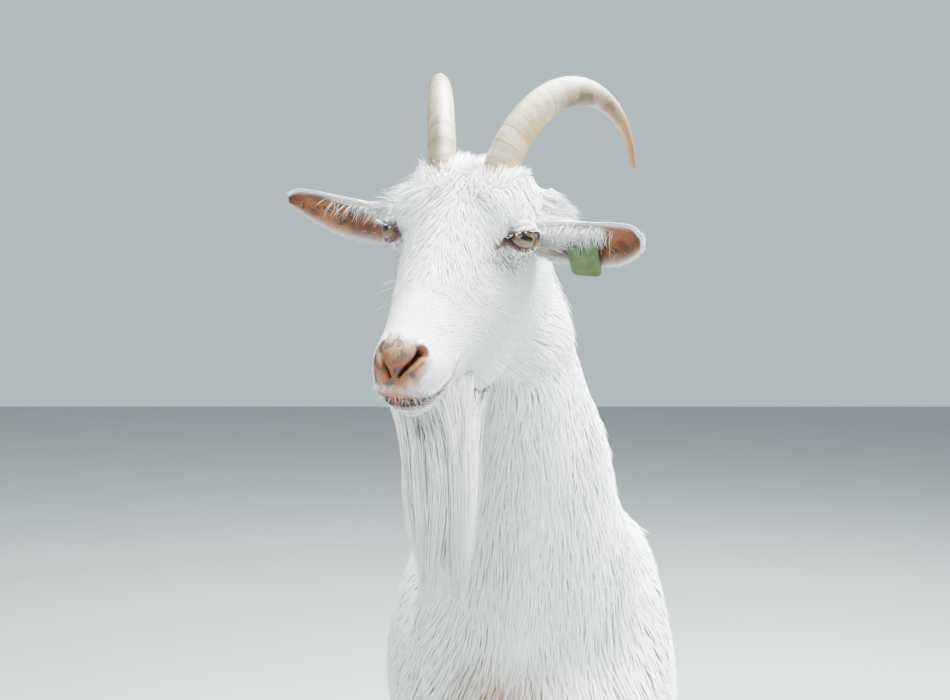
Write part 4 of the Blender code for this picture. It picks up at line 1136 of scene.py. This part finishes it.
for k in range(1, BEARD_STEPS + 1):
    share = k / BEARD_STEPS
    spread = smoothstep(share, -0.05, 0.38)
    taper = 1 - smoothstep(share, 0.45, 1.12)
    hang_x = beard_middle[0] + 0.90 * across * half_wide * taper + point_x * (1 - taper)
    hang_y = beard_middle[1] + 0.004 * share + deep * half_deep * (0.25 + 0.75 * taper)
    wave = 0.0024 * np.sin(wave_turn + share * 8.0) * share
    lines[k, :, 0] += (hang_x + own_x + wave - roots[:, 0]) * spread
    lines[k, :, 1] += (hang_y + own_y - wave - roots[:, 1]) * spread
    lines[k, :, 2] -= drop * share
ups = unit((lines - beard_middle - [0, 0.012, 0]) * [1, 1, 0])
ups[0] = unit(sampled(normals, *at))
tags = {"tuft": draw.random(BEARD_STRANDS), "cream": draw.uniform(0.0, 0.45, BEARD_STRANDS)}
bake_at = around(roots[:, :2] - beard_middle[:2], roots[:, 2], beard_low[2], beard_high[2] + 0.05)
mesh = tuft_mesh("beard_hair", lines, ups, np.zeros((BEARD_STEPS + 1, BEARD_STRANDS)),
                 draw.uniform(0.0006, 0.0011, BEARD_STRANDS), tags, bake_at, flat=0.45)
placed("beard_hair", mesh, hair, "beard", "beard")

# ============================================================ Hair of the ears
# Short white hair lies along the back of each ear and stands past its rim. Longer fine hair crosses the
# hollow near the root, where it keeps dust out.

RIM_HAIRS = 620
HOLLOW_HAIRS = {"left": 420, "right": 70}


def on_grid(grid, row, column):
    """Places between the points of an ear's grid."""
    row, column = (np.clip(at, 0, size - 1.001) for at, size in zip((row, column), grid.shape))
    r, c = row.astype(int), column.astype(int)
    fr, fc = (row - r)[:, None], (column - c)[:, None]
    return ((grid[r, c] * (1 - fr) + grid[r + 1, c] * fr) * (1 - fc)
            + (grid[r, c + 1] * (1 - fr) + grid[r + 1, c + 1] * fr) * fc)


def ear_hairs(sheet, axis, row, column, lengths, drift, facing):
    """Lines and upward ways of hairs that follow a side of an ear towards its tip."""
    row_size = far(axis[-1, 0], axis[0, 0]) / (EAR_ROWS - 1)
    line, up = [], []
    for share in (0, 0.5, 1):
        at_row = row + lengths / row_size * share
        spot = on_grid(sheet, at_row, column + drift * share)
        past = np.clip(at_row - (EAR_ROWS - 1.5), 0, None)[:, None] * row_size
        line.append(spot + unit(axis[-1, 0] - axis[-8, 0]) * past)
        up.append(unit(spot - on_grid(axis, at_row, 0 * row)) * facing)
    return np.array(line), np.array(up)


def ear_bake(column, at, inward):
    """Places on an ear's unwrapped skin, with the back on one half and the hollow on the other."""
    across = column / EAR_AROUND * 0.48 + (0.51 if inward else 0.01)
    return np.stack(np.broadcast_arrays(across, 0.01 + 0.98 * at), 1)


for word, way, (ear_points, middles, _) in zip(("left", "right"), (1, -1), ear_places):
    grid = ear_points.reshape(EAR_ROWS, EAR_RING, 3)
    back, hollow = grid[:, :EAR_AROUND + 1], grid[:, :EAR_AROUND:-1]
    axis = np.repeat(middles[:, None], 2, axis=1)
    draw = np.random.default_rng(60 + len(word))
    sets = []                        # lines, upward ways, rises, widths, places to bake at, and creams
    for sheet, count, long, wide, rise, inward in (
            (back, 3600, 0.0120, 0.0014, 0.0016, False), (hollow, 3400, 0.0170, 0.0011, 0.0040, True),
            (hollow, 26, 0.0060, 0.00025, 0.0006, True)):
        at, turn = draw.uniform(0.0, 0.97, count), draw.uniform(-1, 1, count)
        if inward and wide > 0.0010:
            # thickest near the root and under the upper rim
            kept = draw.random(count) < smoothstep(0.34 - 0.24 * turn - at, -0.05, 0.05)
            at, turn = at[kept], turn[kept]
        count = len(at)
        column = (turn * way + 1) / 2 * EAR_AROUND
        near_root = 1 - smoothstep(at, 0.10, 0.42)
        lengths = long * draw.uniform(0.7, 1.25, count) * (1 + 0.5 * near_root)
        lengths *= 1 - 0.55 * smoothstep(at, 0.72, 0.96)
        line, up = ear_hairs(sheet, axis, at * (EAR_ROWS - 1), column, lengths, draw.normal(0, 1.4, count),
                             -1 if inward else 1)
        rises = (rise + 0.0065 * near_root * (not inward)) * draw.uniform(0.4, 1.1, count)
        sets.append((line, up, rises * np.linspace(0, 1, 3)[:, None], wide * draw.uniform(0.7, 1.2, count),
                     ear_bake(column, at, inward), np.full(count, 0.3 * inward)))
    # the fringe that stands past both rims
    for rim, beside in ((0, 2), (EAR_AROUND, EAR_AROUND - 2)):
        row = draw.uniform(0.10, 0.99, RIM_HAIRS) * (EAR_ROWS - 1)
        none = 0 * row
        edge_at = on_grid(back, row, none + rim)
        away = unit(edge_at - on_grid(back, row, none + beside))
        along = unit(on_grid(axis, row + 1, none) - on_grid(axis, row - 1, none))
        first = unit(0.50 * away + 0.85 * along + draw.normal(0, 0.15, (RIM_HAIRS, 3)))
        lengths = draw.uniform(0.0030, 0.0062, RIM_HAIRS)
        lengths *= 1 - 0.5 * smoothstep(row, 0.5 * EAR_ROWS, EAR_ROWS)
        line = np.array([edge_at - away * 0.0014 + first * (lengths * k / 2)[:, None] for k in range(3)])
        up = np.repeat(unit(edge_at - on_grid(axis, row, none))[None], 3, axis=0)
        sets.append((line, up, np.zeros((3, RIM_HAIRS)), draw.uniform(0.0007, 0.0012, RIM_HAIRS),
                     ear_bake(rim, row / EAR_ROWS, False), none))
    # long fine hair that falls forward out of the hollow
    count = HOLLOW_HAIRS[word]
    at, turn = draw.triangular(0.28, 0.45, 0.70, count), draw.uniform(-0.97, -0.55, count)
    column = (turn * way + 1) / 2 * EAR_AROUND
    starts = on_grid(hollow, at * (EAR_ROWS - 1), column)
    _, ear_along, ear_faces, _, _ = ear_line(way)
    first, last = (unit(lie + draw.normal(0, 0.26, (count, 3))) @ head_turn.T for lie in (
        ear_faces + 0.30 * ear_along, 0.45 * ear_faces + 0.40 * ear_along - [0.0, 0.0, 0.85]))
    reach = (draw.uniform(0.5, 1.2, count) * 0.0118)[:, None]
    line = np.array([starts, starts + first * reach, starts + (first + last) * reach])
    sets.append((line, np.repeat(first[None], 3, axis=0), np.zeros((3, count)),
                 draw.uniform(0.0004, 0.0007, count), ear_bake(column, at, True), np.full(count, 0.4)))
    lines, ups, rises = (np.concatenate([one[k] for one in sets], axis=1) for k in range(3))
    wides, bake_at, creams = (np.concatenate([one[k] for one in sets]) for k in range(3, 6))
    mesh = tuft_mesh(f"coat_ear_{word}", lines, ups, rises, wides,
                     {"tuft": draw.random(len(wides)), "cream": creams}, bake_at, sunk=0.0006)
    placed(f"coat_ear_{word}", mesh, hair, "coat")

# ============================================================ Lashes and whiskers
# Stiff white lashes along the upper lids, finer ones below, bristles round the lips and chin, and a few
# long feelers over the eyes and on the cheeks. Each is a single tapering hair.

WHISKER_STEPS = 4

draw = np.random.default_rng(5)
hair_lines, hair_ups, hair_wides = [], [], []


def single_hairs(starts, ways, lengths, wide, sag):
    """Hairs from head places, each bending from its first way towards the sag."""
    ways = unit(ways)
    shares = np.linspace(0, 1, WHISKER_STEPS + 1)
    hair_lines.append([from_head(starts + (ways * t + np.array(sag) * t * t) * lengths[:, None])
                       for t in shares])
    hair_ups.append([head_direction(unit(np.cross(ways, [0.3, 0.5, 0.8])))] * len(shares))
    hair_wides.append(np.full(len(starts), wide))


for flip in ([1, 1, 1], [1, 1, -1]):
    for upper, count, long, wide in ((True, 34, 0.0085, 0.00034), (False, 26, 0.0040, 0.00026)):
        share = draw.uniform(-0.92, 0.92, count)
        bow = (0.0070 if upper else -0.0070) * np.sqrt(1 - share ** 2)
        a = 0.0005 + share * 0.0135
        front = np.sqrt(np.clip(EYE_RADIUS ** 2 - a ** 2 - bow ** 2, 1e-6, None))
        ray = unit(np.outer(a, inner) + np.outer(bow, lift) + np.outer(front, gaze))
        starts = EYE_CENTRE + ray * (EYE_RADIUS + 0.0010)
        ways = ray * 0.9 + np.outer(share * 0.4, inner) + (lift * (0.10 if upper else -0.9))
        ways = ways + draw.normal(0, 0.12, (count, 3))
        sag = lift * (-0.25 if upper else -0.1)
        single_hairs(starts * flip, ways * flip, long * draw.uniform(0.6, 1.2, count), wide, sag * flip)

for chosen, count, low_long, high_long, wide, back in (
        ((np.abs(off_mouth) < 0.016) & (ahead > 0.215), 200, 0.003, 0.008, 0.00028, -0.5),
        ((ahead > 0.20) & (high < -0.050) & (high > -0.085), 80, 0.006, 0.016, 0.00030, -0.5),
        (far(side, EYE_CENTRE + [0.0, 0.024, -0.006]) < 0.010, 26, 0.020, 0.034, 0.00045, 0.1),
        (far(side, [0.150, -0.005, 0.045]) < 0.022, 24, 0.016, 0.030, 0.00034, 0.1)):
    ids = np.nonzero(chosen & (on_head > 0.9))[0]
    ids = ids[draw.integers(0, len(ids), count)]
    ways = in_head(normals[ids] + head_at) + [back, -0.25, 0] + draw.normal(0, 0.22, (count, 3))
    single_hairs(in_head(points[ids]), ways, draw.uniform(low_long, high_long, count), wide, [0, -0.25, 0])
hair_lines, hair_ups = (np.concatenate(rows, axis=1) for rows in (hair_lines, hair_ups))
hair_wides = np.concatenate(hair_wides)
count = len(hair_wides)
tags = {"tuft": draw.random(count), "grey": draw.uniform(0, 0.5, count)}
mesh = tuft_mesh("lashes_and_whiskers", hair_lines, hair_ups, np.zeros((WHISKER_STEPS + 1, count)),
                 hair_wides, tags, unwrap_head(hair_lines[0]), sunk=0.0004, flat=0.8)
placed("lashes_and_whiskers", mesh, hair, "coat")

# ============================================================ Claws
# Two horny claws on each foot, flat-soled, pointed in front and ridged round by their growth, with a
# softer band of heel behind.

# height, then how far it reaches in front and behind, and half its width, in metres
CLAW_ROWS = ((0.0, 0.0350, 0.0280, 0.0120), (0.0025, 0.0362, 0.0290, 0.0130),
             (0.0240, 0.0285, 0.0270, 0.0122), (0.0457, 0.0200, 0.0225, 0.0108),
             (0.0530, 0.0150, 0.0180, 0.0085))
CLAW_AROUND = 48
CLAW_RIDGE = 0.0034

# Hoof horn: dull and pale grey-brown, scuffed and dusty at the lower edge.
hoof_horn, tree, shader = new_material("hoof_horn")
place = node("TexCoord", {}, output="Object")
tall = node("SeparateXYZ", {}, place, output="Z")
cloud = node("TexNoise", {}, place, 70.0, 6.0)
band_place = node("CombineXYZ", {}, node("Math", SUM, node("Math", PRODUCT, tall, 160.0), cloud))
bands = node("TexNoise", {}, band_place, 2.0, 3.0)
horny = node("Mix", COLOURS, node("MapRange", SMOOTH, cloud, 0.3, 0.7), "#6e604e", "#a08f76")
for share, paint in ((node("MapRange", SMOOTH, bands, 0.45, 0.62, 0.0, 0.6), "#4d4338"),
                     (node("MapRange", SMOOTH, tall, 0.0, 0.012, 0.6, 0.0), "#8f8676")):
    horny = node("Mix", COLOURS, share, horny, paint)
surface(horny, {"Roughness": 0.58, "IOR": 1.54}, None, bands)

claw_rows = smooth_rows(CLAW_ROWS, 10)
for kind, word, way, foot_x, foot_y in feet:
    for place_word, out in (("outer", way), ("inner", -way)):
        verts = []
        for step, (tall, toe, heel, half) in enumerate(claw_rows):
            ridge = 0.00030 * math.sin(tall / CLAW_RIDGE * 2 * math.pi) * (0 < step)
            for k in range(CLAW_AROUND):
                angle = 2 * math.pi * k / CLAW_AROUND
                c, s = math.cos(angle), math.sin(angle)
                reach = toe * abs(s) ** 0.9 if s > 0 else heel * abs(s)
                across = max(-0.72, c) * (1 - 0.30 * max(0.0, s) ** 2)
                swell = 1 + ridge / half * (1 if s > -0.5 else 0.3)
                verts.append((foot_x + out * (CLAW_SPREAD + half * across * swell),
                              foot_y - math.copysign(reach, s) * swell, max(tall, 0.0)))
        mesh = bpy.data.meshes.new(f"hoof_{kind}_{word}_{place_word}")
        mesh.from_pydata(verts, [], tube_faces(len(claw_rows), CLAW_AROUND))
        turned_out(mesh)
        mesh.set_sharp_from_angle(angle=math.radians(50))
        placed(mesh.name, mesh, hoof_horn, "claw", f"claw_{kind}_{word}_{place_word}")

# ============================================================ Ear tag
# A plain green flap of flexible moulded plastic, blank, held in the left ear by a two-part rivet: pin and
# cap on the hollow side, button on the back.

TAG_ALONG = 3                        # the ear station that it is pinned at
TAG_STAND = 0.0165
TAG_THICK = 0.0022
TAG_LEFT, TAG_RIGHT, TAG_TOP, TAG_BOTTOM = -0.0095, 0.0180, -0.0093, 0.0268
TAG_CORNER = 0.0055
TAG_SWING = Matrix.Rotation(math.radians(24), 3, "Y") @ Matrix.Rotation(math.radians(12), 3, "Z")
CAD_EAR_THICK = 0.0046

# Polyurethane: satin and slightly see-through in life, weathered paler, with grime caught in the rim.
plastic, tree, shader = new_material("green_tag_polyurethane")
place = node("TexCoord", {}, output="Object")
cloud = node("TexNoise", {}, place, 90.0, 6.0, 0.65)
green = node("Mix", COLOURS, node("MapRange", SMOOTH, cloud, 0.35, 0.7), "#2f4519", "#4a6427")
green = node("Mix", COLOURS, node("MapRange", SMOOTH, cloud, 0.62, 0.75, 0.0, 0.5), green, "#454230")
surface(green, {"IOR": 1.5}, node("MapRange", SMOOTH, cloud, 0.3, 0.7, 0.35, 0.55),
        node("TexNoise", {}, place, 900.0, 2.0), 0.25, 0.0003)

_, ear_along, ear_faces, ear_across, _ = ear_line(1)
at, half, curl = EAR_STATIONS[TAG_ALONG]
radius = half / math.sin(math.radians(curl))
pinned_at = ear_middle(1, at, radius) - ear_faces * (radius - CAD_EAR_THICK / 2)
tag_middle = (TAG_TOP + TAG_BOTTOM) / 2
outline = []
for cx, cy, start in ((TAG_RIGHT, TAG_BOTTOM, 0), (TAG_LEFT, TAG_BOTTOM, 90), (TAG_LEFT, TAG_TOP, 180),
                      (TAG_RIGHT, TAG_TOP, 270)):
    for k in range(9):
        angle = math.radians(start + 90 * k / 8)
        outline.append((cx - math.copysign(TAG_CORNER, cx) + TAG_CORNER * math.cos(angle),
                        cy - math.copysign(TAG_CORNER, cy) + TAG_CORNER * math.sin(angle)))
verts = []
for inset, tall in ((0.0006, 0.0), (0.0, 0.0006), (0.0, TAG_THICK - 0.0006), (0.0006, TAG_THICK),
                    (0.0022, TAG_THICK), (0.0027, TAG_THICK - 0.0004)):
    for x, y in outline:
        off = y - tag_middle
        shrink = inset / math.hypot(x, off)
        curve = 0.0006 * math.cos(off / 0.0208 * math.pi / 2)
        verts.append(TAG_SWING @ Vector((x - x * shrink, y - off * shrink, tall - 0.0003 + curve)))
flap = (np.array(verts) + [0, 0, TAG_STAND]) @ np.stack([ear_along, ear_across, ear_faces])
mesh = bpy.data.meshes.new("tag_plate")
mesh.from_pydata((pinned_at + flap) @ head_turn.T + head_at, [], tube_faces(6, len(outline)))
turned_out(mesh)
mesh.set_sharp_from_angle(angle=math.radians(40))
placed("tag_plate", mesh, plastic, "tag", "tag_flap")
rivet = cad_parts["tag_rivet"]
rivet.data.materials.clear()
rivet.data.materials.append(plastic)

# ============================================================ Model's measured size
low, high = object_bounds()
